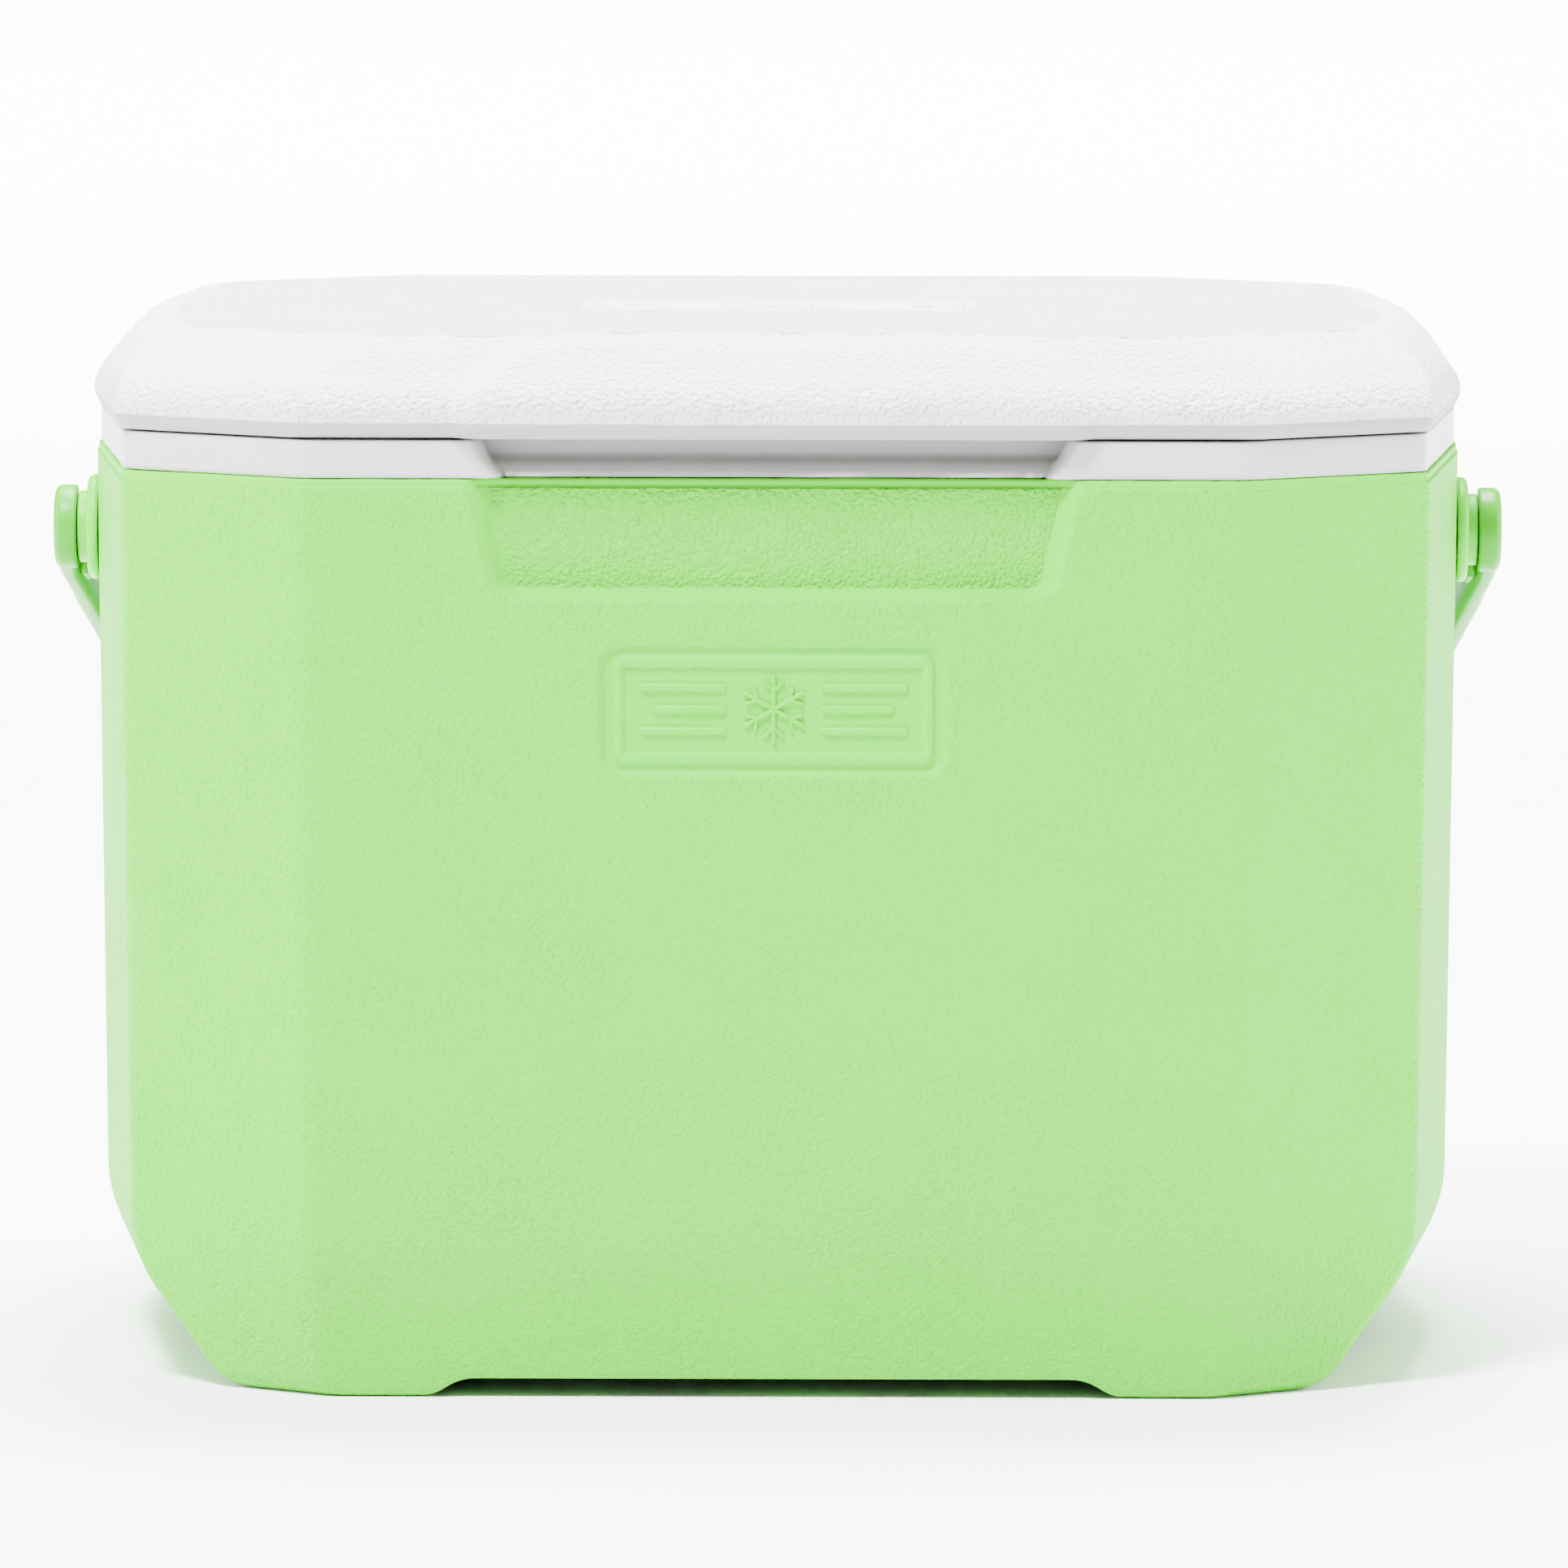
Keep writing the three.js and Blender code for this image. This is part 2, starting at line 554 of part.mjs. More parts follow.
function lidLeaf(side) {
  const x = side * HINGE.x;
  let leaf = box(
    [x - HINGE.halfWidth, LEAF.lidY, LEAF.lidSeat], [x + HINGE.halfWidth, LID_LEAF_OUT, LEAF.lidHigh]);
  for (const end of [-1, 1]) {
    const near = x + end * (HINGE.centre + 0.5);
    const far = x + end * HINGE.halfWidth;
    const low = Math.min(near, far);
    const high = Math.max(near, far);
    const strap = prismX([
      [LEAF.lidY, LEAF.lidLow], [HINGE.y - 1.5, HINGE.z - 0.5], [HINGE.y + 1, HINGE.z + 3.4],
      [LID_LEAF_OUT, LEAF.lidStep], [LEAF.lidY, LEAF.lidStep]], low, high);
    leaf = leaf.add(strap).add(rodX(HINGE.knuckle, 1, low, high, HINGE.y, HINGE.z, 20));
  }
  leaf = leaf.subtract(rodX(HINGE.pin + GAP, 1, x - 30, x + 30, HINGE.y, HINGE.z, 16));
  for (const screw of lidScrews) leaf = leaf.subtract(screwHole(screw, LID_LEAF_OUT));
  return leaf;
}

function hingePin(side) {
  const x = side * HINGE.x;
  const { radius, thick, overrun } = HINGE_HEAD;
  const end = HINGE.halfWidth + GAP;
  return rodX(HINGE.pin, 1, x - end - overrun, x + end + overrun, HINGE.y, HINGE.z, 16)
    .add(rodX(radius, 1, x + end, x + end + thick, HINGE.y, HINGE.z, 16))
    .add(rodX(radius, 1, x - end - thick, x - end, HINGE.y, HINGE.z, 16));
}

function hingeScrew(screw, out) {
  const face = out + GAP;
  const shank = rodY(SCREW.shank, screw.x, face - SCREW.length, face + 0.3, screw.z, 8);
  const head = rodY(SCREW.head, screw.x, face, face + SCREW.headThick, screw.z, 12);
  const top = face + SCREW.headThick;
  const slot = box(
    [screw.x - SLOT.half, top - SLOT.deep, screw.z - SLOT.thin],
    [screw.x + SLOT.half, top + 1, screw.z + SLOT.thin]);
  return shank.add(head).subtract(slot);
}

// ---- Bail and pivots ----------------------------------------------------------------------------

// One ring of the bail: an oblong section square to the path, in the bail's own plane.
function bailRing(station) {
  const { x, r, nx, nr, half, tall } = station;
  const soft = Math.min(half, tall) * 0.8;
  return oblong(half, tall, soft, 0, 0)
    .map((p) => new THREE.Vector3(x + nx * p.x, r + nr * p.x, p.y))
    .reverse();
}

// Stations from the right pivot along the right arm, round the corner and over to the middle.
function bailStations() {
  const { innerFace, thick, lean, leanFrom, grip, gripThick, gripHeight, armHeight, corner, eye } = BAIL;
  const mid = innerFace + thick / 2;
  const armX = (r) => mid - lean * Math.max(0, r - leanFrom);
  const armEnd = grip - corner;
  const stations = [-3, leanFrom, 40, 75, 110, armEnd].map((r) => ({
    x: armX(r), r, nx: 1, nr: lean, half: thick / 2,
    tall: THREE.MathUtils.lerp(eye - 0.4, armHeight / 2, Math.min(1, Math.max(0, r / 60))),
  }));
  const cx = armX(armEnd) - corner;
  for (let k = 1; k <= 6; k += 1) {
    const angle = (k / 6) * Math.PI / 2;
    const share = k / 6;
    stations.push({
      x: cx + corner * Math.cos(angle), r: armEnd + corner * Math.sin(angle),
      nx: Math.cos(angle), nr: Math.sin(angle),
      half: THREE.MathUtils.lerp(thick, gripThick, share) / 2,
      tall: THREE.MathUtils.lerp(armHeight, gripHeight, share) / 2,
    });
  }
  stations.push({ x: 60, r: grip, nx: 0, nr: 1, half: gripThick / 2, tall: gripHeight / 2 });
  return stations;
}

function bailHandle() {
  const right = bailStations();
  const left = [...right].reverse().map((s) => ({ ...s, x: -s.x, nx: -s.nx }));
  const { stand, low, high, slope, from, to } = ARM_STEP;
  const outer = BAIL.innerFace + BAIL.thick;
  const root = BAIL.innerFace + 0.2;
  let bail = loft([...right, ...left].map(bailRing));
  for (const [, side] of hingeSides) {
    const eye = turnedX([
      [0, BAIL.innerFace], [BAIL.eye - 1, BAIL.innerFace], [BAIL.eye, BAIL.innerFace + 1],
      [BAIL.eye, outer - 2], [BAIL.eye - 0.8, outer - 0.7], [BAIL.eye - 2.2, outer], [0, outer]],
    side, 0, 0, 32);
    const step = prismY([[root, low], [root, high], [root - stand, high - slope], [root - stand, low + slope]]
      .map(([x, z]) => [side * x, z]), from, to);
    const hole = rodX(BORE, side, BAIL.innerFace - 9, outer + 3, 0, 0, 24);
    const sink = rodX(PIN.head + GAP, side, outer - PIN.sink, outer + 3, 0, 0, 24);
    bail = bail.add(eye).add(step).subtract(hole).subtract(sink);
  }
  return bail;
}

function pivotBoss(side) {
  const { flange, flangeOut, neck, neckOut, inner } = BOSS;
  const body = turnedX([
    [0, inner], [flange, inner], [flange, flangeOut - 1.6], [flange - 1.4, flangeOut],
    [neck, flangeOut], [neck, neckOut], [0, neckOut]], side, 0, PIVOT_Z, 32);
  return body.subtract(rodX(BORE, side, inner - 1, neckOut + 1, 0, PIVOT_Z, 24));
}

function pivotPin(side) {
  const outer = BAIL.innerFace + BAIL.thick;
  const seat = outer - PIN.sink + GAP;
  return turnedX([
    [0, PIN_END], [PIN.shank, PIN_END], [PIN.shank, seat], [PIN.head, seat],
    [PIN.head, seat + PIN.headThick - 0.6], [PIN.head - 0.9, seat + PIN.headThick],
    [0, seat + PIN.headThick]], side, 0, PIVOT_Z, 24);
}

function pivotRetainer(side) {
  const { radius, thick, outer } = RETAINER;
  const disc = rodX(radius, side, outer - thick, outer, 0, PIVOT_Z, 24);
  return disc.subtract(rodX(BORE, side, outer - thick - 1, outer + 1, 0, PIVOT_Z, 24));
}

// ---- Materials ----------------------------------------------------------------------------------

const finish = (color, roughness, metalness = 0) => (
  new THREE.MeshStandardMaterial({ color, roughness, metalness }));
const MATERIALS = {
  greenShell: finish(0xbce6a0, 0.55),
  greenHandle: finish(0xa6dd84, 0.38),
  whiteLid: finish(0xf2f2f0, 0.55),
  whiteLiner: finish(0xe9e9e7, 0.35),
  foam: finish(0xefe3b8, 0.95),
  hingePlastic: finish(0xe4e4e2, 0.4),
  steel: finish(0xb9bcc0, 0.3, 1),
};

// ---- Assembly -----------------------------------------------------------------------------------

const cooler = new THREE.Group();

function place(parent, name, solid, material) {
  const mesh = new THREE.Mesh(geometryOf(solid), MATERIALS[material]);
  mesh.name = name;
  parent.add(mesh);
}

place(cooler, 'outer_shell', outerShell(), 'greenShell');
place(cooler, 'foam_body', bodyFoam(), 'foam');
place(cooler, 'inner_liner', innerLiner(), 'whiteLiner');
place(cooler, 'lid_cover', lidCover(), 'whiteLid');
place(cooler, 'lid_foam', lidFoam(), 'foam');
place(cooler, 'lid_liner', lidTray(), 'whiteLiner');

for (const [name, side] of hingeSides) {
  place(cooler, `hinge_body_leaf_${name}`, bodyLeaf(side), 'hingePlastic');
  place(cooler, `hinge_lid_leaf_${name}`, lidLeaf(side), 'hingePlastic');
  place(cooler, `hinge_pin_${name}`, hingePin(side), 'steel');
  place(cooler, `pivot_boss_${name}`, pivotBoss(side), 'greenHandle');
  place(cooler, `pivot_pin_${name}`, pivotPin(side), 'greenHandle');
  place(cooler, `pivot_retainer_${name}`, pivotRetainer(side), 'steel');
}
for (const screw of bodyScrews) place(cooler, screw.name, hingeScrew(screw, BODY_LEAF_OUT), 'steel');
for (const screw of lidScrews) place(cooler, screw.name, hingeScrew(screw, LID_LEAF_OUT), 'steel');

// The bail is made level and then lowered behind the shell to where it is stowed.
const bail = new THREE.Group();
bail.rotation.x = -THREE.MathUtils.degToRad(STOW_ANGLE);
bail.position.z = PIVOT_Z;
place(bail, 'bail_handle', bailHandle(), 'greenHandle');
cooler.add(bail);

// Stand the whole object on the floor with its middle over the origin.
const whole = new THREE.Box3().setFromObject(cooler, true);
const middle = whole.getCenter(new THREE.Vector3());
cooler.position.set(-middle.x, -middle.y, -whole.min.z);

export default cooler;
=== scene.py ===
# %% [markdown]
# # A hard-sided picnic cooler
#
# This cooler is built as a moulded plastic shell around a white food liner, with foam between
# them, an insulated lid on two back hinges, and a bail handle that swings on the ends. The frame
# already holds every solid in its right place. This lesson gives each visible solid a finer
# surface, worked out point by point, and gives each plastic its grain and sheen.

import math

import bmesh
import bpy
import numpy as np
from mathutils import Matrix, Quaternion, Vector


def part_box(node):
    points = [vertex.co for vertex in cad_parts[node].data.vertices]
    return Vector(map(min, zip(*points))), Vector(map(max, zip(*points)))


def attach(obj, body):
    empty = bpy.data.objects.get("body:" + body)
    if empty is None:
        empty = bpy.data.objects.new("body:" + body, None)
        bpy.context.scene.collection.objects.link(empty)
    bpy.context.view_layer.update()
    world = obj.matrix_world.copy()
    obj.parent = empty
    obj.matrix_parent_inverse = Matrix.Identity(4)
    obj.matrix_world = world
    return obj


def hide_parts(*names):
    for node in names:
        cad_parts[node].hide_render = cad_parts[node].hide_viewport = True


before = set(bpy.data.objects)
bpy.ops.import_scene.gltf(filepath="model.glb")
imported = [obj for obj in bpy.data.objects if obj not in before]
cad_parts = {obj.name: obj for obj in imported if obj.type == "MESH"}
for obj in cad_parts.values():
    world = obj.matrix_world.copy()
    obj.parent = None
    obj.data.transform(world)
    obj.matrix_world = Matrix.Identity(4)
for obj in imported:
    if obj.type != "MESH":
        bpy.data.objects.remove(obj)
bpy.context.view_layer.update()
print("solids in the frame:", len(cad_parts))

# %% [markdown]
# Plastic parts are drawn in millimetres, so every shape below is too, about the middle of the
# shell's own footprint. One factor and one shift turn those numbers into metres in the frame.

# %% Units and the shell's middle
MM = 0.001
shell_low, shell_high = (np.array(corner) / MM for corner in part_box("outer_shell"))
shell_middle = np.array([0.0, (shell_low[1] + shell_high[1]) / 2, 0.0])
SHELL_TOP = shell_high[2]
HALF_DEPTH = (shell_high[1] - shell_low[1]) / 2
HALF_WIDTH = (shell_high[0] - shell_low[0]) / 2
print("shell half width, half depth, top:", HALF_WIDTH, HALF_DEPTH, SHELL_TOP)

# %% [markdown]
# A grid of points becomes a mesh when each square of four neighbours becomes a face. Several grids
# can share one mesh: points that land on each other are welded, which closes seams and poles. The
# faces are then turned outwards. A number may be stored at each point for a material to read, such
# as how strongly the mould's grain was cut there.

# %% From grids to a piece
WELD = 0.004


def faces_of(rows, columns, start):
    """Every square of a grid as four point numbers: a point, the next in its row, and the two above."""
    corner = (np.arange(rows - 1)[:, None] * columns + np.arange(columns - 1)[None, :]).ravel() + start
    return np.stack([corner, corner + 1, corner + columns + 1, corner + columns], axis=1)


def make_piece(name, patches, body, slot, replaces=(), **numbers):
    """Joins grids (rows x columns x 3, in millimetres about the shell's middle) into one closed mesh."""
    points = np.concatenate([patch.reshape(-1, 3) for patch in patches])
    starts = np.cumsum([0] + [patch.shape[0] * patch.shape[1] for patch in patches])
    faces = np.concatenate([faces_of(*patch.shape[:2], start) for patch, start in zip(patches, starts)])
    mesh = bpy.data.meshes.new(name)
    mesh.from_pydata(((points + shell_middle) * MM).tolist(), [], faces.tolist())
    for label, grids in numbers.items():
        stored = mesh.attributes.new(label, "FLOAT", "POINT")
        values = np.concatenate([grid.ravel() for grid in grids])
        stored.data.foreach_set("value", values.astype(np.float32))
    shape = bmesh.new()
    shape.from_mesh(mesh)
    bmesh.ops.remove_doubles(shape, verts=shape.verts, dist=WELD * MM)
    bmesh.ops.dissolve_degenerate(shape, edges=shape.edges, dist=1e-7)
    bmesh.ops.recalc_face_normals(shape, faces=shape.faces)
    open_edges = sum(1 for edge in shape.edges if edge.is_boundary)
    shape.to_mesh(mesh)
    shape.free()
    mesh.shade_smooth()
    piece = bpy.data.objects.new(name, mesh)
    bpy.context.collection.objects.link(piece)
    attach(piece, body)
    if replaces:
        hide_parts(*replaces)
    print(f"{name}: {len(mesh.polygons)} faces, {open_edges} open edges")
    return piece


# %% [markdown]
# Moulded parts have no knife edges: one surface runs into the next over a small radius. Two soft
# functions do most of that work here. `soft_min` rounds the corner where two curves cross, and
# `ramp` climbs from 0 to 1 with both its ends eased.

# %% Soft corners
def soft_min(a, b, ease):
    """The lower of a and b, less ease/4 where they are equal, fading out where they differ by ease."""
    near = np.clip(1 - np.abs(a - b) / ease, 0, 1)
    return np.minimum(a, b) - ease / 4 * near ** 2


def soft_max(a, b, ease):
    return -soft_min(-np.asarray(a), -np.asarray(b), ease)


def ramp(t, low_ease=0.3, high_ease=0.3):
    """t held between 0 and 1, with its two corners rounded."""
    return np.clip(soft_min(soft_max(t, 0 * t, low_ease), 1 + 0 * t, high_ease), 0, 1)


def inside_corner(a, b, radius):
    """How deep a point is inside two edges, a and b being how deep it is inside each: the lower one,
    with the outline's corner turned into an arc."""
    far = np.minimum(np.maximum(radius - a, radius - b), 0)
    return radius - far - np.hypot(np.maximum(radius - a, 0), np.maximum(radius - b, 0))


def steps(*stretches):
    """Numbers from one stop to the next at a given spacing: (from, to, spacing), joined."""
    parts = [np.linspace(a, b, max(2, round(abs(b - a) / gap) + 1))[:-1] for a, b, gap in stretches]
    return np.concatenate(parts + [[stretches[-1][1]]])


# %% [markdown]
# Seen from above, the shell is a twelve-sided outline: front, bevel, side facet and flank, mirrored
# round to the back. Each wall is a line at some distance from the middle. Moving a wall inwards by
# its inset, meeting it with its neighbours and turning each meeting into an arc gives the outline
# at any height, for every height at once.

# %% The twelve walls
PANEL_HALF, FLANK_HALF = 134.0, 15.0
CORNER_X, CORNER_Y = 186.5, -111.0
WALL_POINTS = np.array([[0, -HALF_DEPTH], [PANEL_HALF, -HALF_DEPTH], [CORNER_X, CORNER_Y],
                        [HALF_WIDTH, -FLANK_HALF], [HALF_WIDTH, FLANK_HALF]])
wall_run = np.diff(WALL_POINTS, axis=0)
quarter = np.stack([wall_run[:, 1], -wall_run[:, 0]], axis=1) / np.linalg.norm(wall_run, axis=1)[:, None]
wall_reach = (quarter * WALL_POINTS[:-1]).sum(axis=1)

KIND = np.array([0, 1, 2, 3, 2, 1, 0, 1, 2, 3, 2, 1])            # front, bevel, facet, flank
TURNED_BACK = np.array([0, 0, 0, 0, 1, 1, 1, 1, 1, 0, 0, 0])
TURNED_LEFT = np.array([0, 0, 0, 0, 0, 0, 0, 1, 1, 1, 1, 1])
CORNER_KIND = np.array([0, 1, 2, 2, 1, 0, 0, 1, 2, 2, 1, 0])     # panel edge, corner, flank edge
normals = quarter[KIND] * np.stack([1 - 2 * TURNED_LEFT, 1 - 2 * TURNED_BACK], axis=1)
after = np.roll(normals, -1, axis=0)
turn = np.arccos((normals * after).sum(axis=1))
along = np.stack([-normals[:, 1], normals[:, 0]], axis=1)
print("turns at the corners, degrees:", np.degrees(turn).round(1)[:6])


def outline(insets, radii, spans, arcs=(6, 8, 3)):
    """Rows of outline points, x and y. Each wall runs from the end of one arc to the start of the
    next, shared out by its span of fractions; each arc swings from one wall's facing to the next's."""
    reach = wall_reach[KIND] - insets[:, KIND]
    beyond = np.roll(reach, -1, axis=1)
    cross = normals[:, 0] * after[:, 1] - normals[:, 1] * after[:, 0]
    meet = np.stack([(reach * after[:, 1] - normals[:, 1] * beyond) / cross,
                     (normals[:, 0] * beyond - reach * after[:, 0]) / cross], axis=2)
    radius = radii[:, CORNER_KIND]
    cut = (radius * np.tan(turn / 2))[:, :, None] * np.ones(2)
    ends = meet - along * cut
    starts = np.roll(meet, 1, axis=1) + along * np.roll(cut, 1, axis=1)
    runs = []
    for k in range(12):
        span = spans[k](starts[:, k, 0], ends[:, k, 0]) if callable(spans[k]) else spans[k]
        share = np.broadcast_to(span, (len(insets), np.shape(span)[-1]))[:, :, None]
        runs.append(starts[:, k, None] + share * (ends - starts)[:, k, None])
        t = np.arange(1, arcs[CORNER_KIND[k]]) / arcs[CORNER_KIND[k]] * turn[k]
        swing = (np.sin(turn[k] - t)[:, None] * normals[k] + np.sin(t)[:, None] * after[k]) / np.sin(turn[k])
        centre = ends[:, k] - radius[:, k, None] * normals[k]
        runs.append(centre[:, None] + radius[:, k, None, None] * swing)
    loop = np.concatenate(runs, axis=1)
    return np.concatenate([loop, loop[:, :1]], axis=1)


def across(stations, shift, ends=4):
    """Columns over a panel: fixed stations each side of the middle, each moved by its shift, and an
    even spread from the last station to each end of the panel."""
    both = np.concatenate([-stations[:0:-1], stations])

    def span(left, right):
        x = both + np.sign(both) * shift(np.abs(both))
        x = np.broadcast_to(x, (len(left), len(both)))
        t = np.linspace(0, 1, ends + 1)[None, :-1]
        before = left[:, None] + (x[:, :1] - left[:, None]) * t
        behind = right[:, None] + (x[:, -1:] - right[:, None]) * t[:, ::-1]
        full = np.concatenate([before, x, behind], axis=1)
        return (full - left[:, None]) / (right - left)[:, None]
    return span


# %% [markdown]
# ## The shell
# The walls lean in slightly so that the part leaves its mould, and near the floor they tuck under:
# a soft bend, a straight slope and a rounded foot. The sides tuck in far more than the front does.

# %% How the walls lean and tuck
SIDE_TUCK = dict(start=50, angle=34.5, bend=40.6, foot=16)
FRONT_TUCK = dict(start=44.5, angle=7.5, bend=24, foot=3.5)
BEVEL_TUCK = dict(start=44.5, angle=9, bend=40, foot=6)
SIDE_LEAN, FRONT_LEAN = 0.009, 0.004


def tuck(z, start, angle, bend, foot):
    """How far a wall has moved in at height z: an arc of radius bend below start, then a slope at
    the angle, then an arc of radius foot that lands flat on the floor."""
    angle = math.radians(angle)
    bend_end = start - bend * math.sin(angle)
    foot_start = foot * (1 - math.sin(angle))
    arc = bend - np.sqrt(np.maximum(bend ** 2 - np.clip(start - z, 0, bend) ** 2, 0))
    bent = bend * (1 - math.cos(angle))
    slope = bent + (bend_end - z) * math.tan(angle)
    straight = (bend_end - foot_start) * math.tan(angle)
    swing = np.arccos(np.clip(1 - z / foot, -1, 1))
    landing = bent + straight + foot * (math.cos(angle) - np.sin(swing))
    return np.select([z >= start, z >= bend_end, z >= foot_start], [0 * z, arc, slope], landing)


def shell_insets(z):
    """Insets of front, bevel, facet and flank at height z."""
    down = SHELL_TOP - z
    front = FRONT_LEAN * down + tuck(z, **FRONT_TUCK)
    bevel = (SIDE_LEAN + FRONT_LEAN) / 2 * down + tuck(z, **BEVEL_TUCK)
    side = SIDE_LEAN * down + tuck(z, **SIDE_TUCK)
    return np.stack([front, bevel, side, side], axis=-1)


print("inset at the floor:", shell_insets(np.zeros(1)).round(1))

# %% [markdown]
# The front carries the shallow recess that lets fingers reach under the lid, and a sunk panel with
# a raised rounded frame for the emblem. Both are depths pressed into the wall, worked out from how
# far inside its outline each point lies. The grain stops where the mould was polished: on the
# recess's sloping sides, round the emblem panel and on the smooth lip at the top edge.

# %% Depths pressed into the front
RECESS = dict(top=86.0, bottom=79.0, sill=230.0, crown=262.0, flare=4.6, ledge=2.9, depth=5.7, scoop=1.0)
PANEL = dict(half=49.3, tall=19.2, z=198.8, corner=7.0, depth=1.6, wall=1.5)
FRAME = dict(middle=5.4, half=1.6, height=1.45)


def recess_half(z):
    share = np.clip((z - RECESS["sill"]) / (RECESS["crown"] - RECESS["sill"]), 0, 1)
    return RECESS["bottom"] + (RECESS["top"] - RECESS["bottom"]) * share


def finger_recess(x, z):
    """Share of the full depth: 0 outside, 1 on the recess's floor, climbing over its sloping edge."""
    beside = (recess_half(z) - np.abs(x)) / RECESS["flare"]
    above = (z - RECESS["sill"]) / RECESS["ledge"]
    return ramp(inside_corner(beside, above, 1.8), 0.4, 0.2)


def emblem_panel(x, z, middle_z, half, tall, corner):
    """Millimetres inside the emblem panel's outline, an oblong with round corners."""
    return inside_corner(half - np.abs(x), tall - np.abs(z - middle_z), corner)


def emblem_relief(deep, wall, depth):
    """The panel's depth, less its frame: a half-round bar that follows the outline."""
    sunk = depth * ramp(deep / wall, 0.5, 0.4)
    bar = 1 - ((deep - FRAME["middle"]) / FRAME["half"]) ** 2
    return sunk - FRAME["height"] * np.sqrt(np.clip(bar, 0, 1))


def front_depth(x, z):
    share = finger_recess(x, z)
    scoop = RECESS["scoop"] * np.clip((SHELL_TOP - z) / 32, 0, 1)
    deep = emblem_panel(x, z, PANEL["z"], PANEL["half"], PANEL["tall"], PANEL["corner"])
    return share * (RECESS["depth"] + scoop) + emblem_relief(deep, PANEL["wall"], PANEL["depth"])


def front_grain(x, z):
    share = finger_recess(x, z)
    deep = emblem_panel(x, z, PANEL["z"], PANEL["half"], PANEL["tall"], PANEL["corner"])
    polished = np.clip(share * 12, 0, 1) * np.clip((1 - share) * 12, 0, 1)
    return (1 - polished) * (1 - 0.8 * np.clip(deep / 1.0 + 0.6, 0, 1)) + 0.35 * (share > 0.95)


# %% [markdown]
# Between the feet the sole is hollowed by two shallow channels, one each way, so the shell stands
# on four pads. Where a channel comes out through a wall, the wall's lower edge is lifted over it.

# %% The feet
CHANNEL = dict(half_x=98.0, half_y=70.0, run=8.5, height=5.4)


def channel_height(x, y):
    """Height of the sole: 0 on the pads, easing up over the channel's sloping side."""
    over_x = ramp((CHANNEL["half_x"] - np.abs(x)) / CHANNEL["run"], 0.5, 0.5)
    over_y = ramp((CHANNEL["half_y"] - np.abs(y)) / CHANNEL["run"], 0.5, 0.5)
    return CHANNEL["height"] * np.maximum(over_x, over_y)


# %% Rows, columns and the outer wall
shell_rows = steps((0.0, 1.2, 0.2), (1.2, 7.0, 0.6), (7.0, 16, 1.5), (16, 52, 2.2), (52, 178.2, 8),
                   (178.2, 190, 0.45), (190, 207.6, 3), (207.6, 219.4, 0.45), (219.4, 228.4, 2),
                   (228.4, 236.0, 0.42), (236, 260.6, 2.2), (260.6, 262.4, 0.2), (262.4, SHELL_TOP, 0.2))
front_stations = steps((0, 40.6, 4.5), (40.6, 50.6, 0.45), (50.6, 70, 3), (70, 82, 0.5), (82, 88.5, 1.6),
                       (88.5, 99, 0.75), (99, 120, 5))
back_stations = steps((0, 88.5, 11), (88.5, 99, 0.9), (99, 120, 7))


def recess_shift(z):
    """Columns near the recess's slanted sides lean with them."""
    def shift(s):
        lean = np.interp(s, [0, 52, 70, 84, 116], [0, 0.7, 1, 1, 0])
        return (recess_half(z) - RECESS["bottom"])[:, None] * lean[None, :]
    return shift


def facet_span(y_far, y_near):
    """Fractions along a side facet, close together where the channel's side crosses it."""
    y = steps((y_far, 72, 8), (72, 60, 1.0), (60, y_near, 9))
    return (y_far - y) / (y_far - y_near)


facet = facet_span(108.0, 18.0)[1:-1]
facet = np.concatenate([[0], facet, [1]])
even = np.linspace(0, 1, 6)
flank = np.linspace(0, 1, 4)
shell_spans = [across(front_stations, recess_shift(shell_rows)), even, facet, flank, 1 - facet[::-1], even,
               across(back_stations, lambda s: 0 * s), even, facet, flank, 1 - facet[::-1], even]
shell_spans[6] = lambda start, end: 1 - across(back_stations, lambda s: 0 * s)(end, start)[:, ::-1]

LIP = dict(low=261.4, step=0.5, round=0.9)
lip_rise = LIP["step"] * np.clip((shell_rows - LIP["low"]) / 0.5, 0, 1)
lip_round = np.clip((shell_rows - (SHELL_TOP - LIP["round"])) / LIP["round"], 0, 1)
lip_inset = lip_rise + LIP["round"] * (1 - np.sqrt(1 - lip_round ** 2))
radii = np.tile([14.0, 6.0, 30.0], (len(shell_rows), 1))
plan = outline(shell_insets(shell_rows) + lip_inset[:, None], radii, shell_spans)
print("outer wall grid:", plan.shape[:2])

# %% [markdown]
# The rows near the floor are squeezed upwards over the channels, and the wall's insets are worked
# out again at their new heights, so the tuck keeps its shape. A second, small radius softens the
# wall's lower edge above each channel.

# %% Lift the wall's edge over the channels, press in the front
SQUEEZE = 16.0
lift = channel_height(plan[:1, :, 0], plan[:1, :, 1])
heights = shell_rows[:, None] + lift * np.clip(1 - shell_rows[:, None] / SQUEEZE, 0, 1)
moved = shell_insets(heights) - shell_insets(shell_rows)[:, None]
column_kind = np.where(np.abs(plan[0, :, 1]) > 112, 0, 2)
kind_index = np.broadcast_to(column_kind[None, :, None], moved.shape[:2] + (1,))
column_inset = np.take_along_axis(moved, kind_index, 2)[:, :, 0]
edge_radius = 1.8 * lift / CHANNEL["height"]
edge_share = np.clip(1 - (heights - lift) / np.maximum(edge_radius, 1e-6), 0, 1)
column_inset += edge_radius * (1 - np.sqrt(1 - edge_share ** 2))
facing = np.where(column_kind[None, :, None] == 0, [0, 1], [1, 0]) * np.sign(plan)
wall_xy = plan - facing * column_inset[:, :, None]
front = (wall_xy[:, :, 1] < -HALF_DEPTH + 12) & (np.abs(wall_xy[:, :, 0]) < 122)
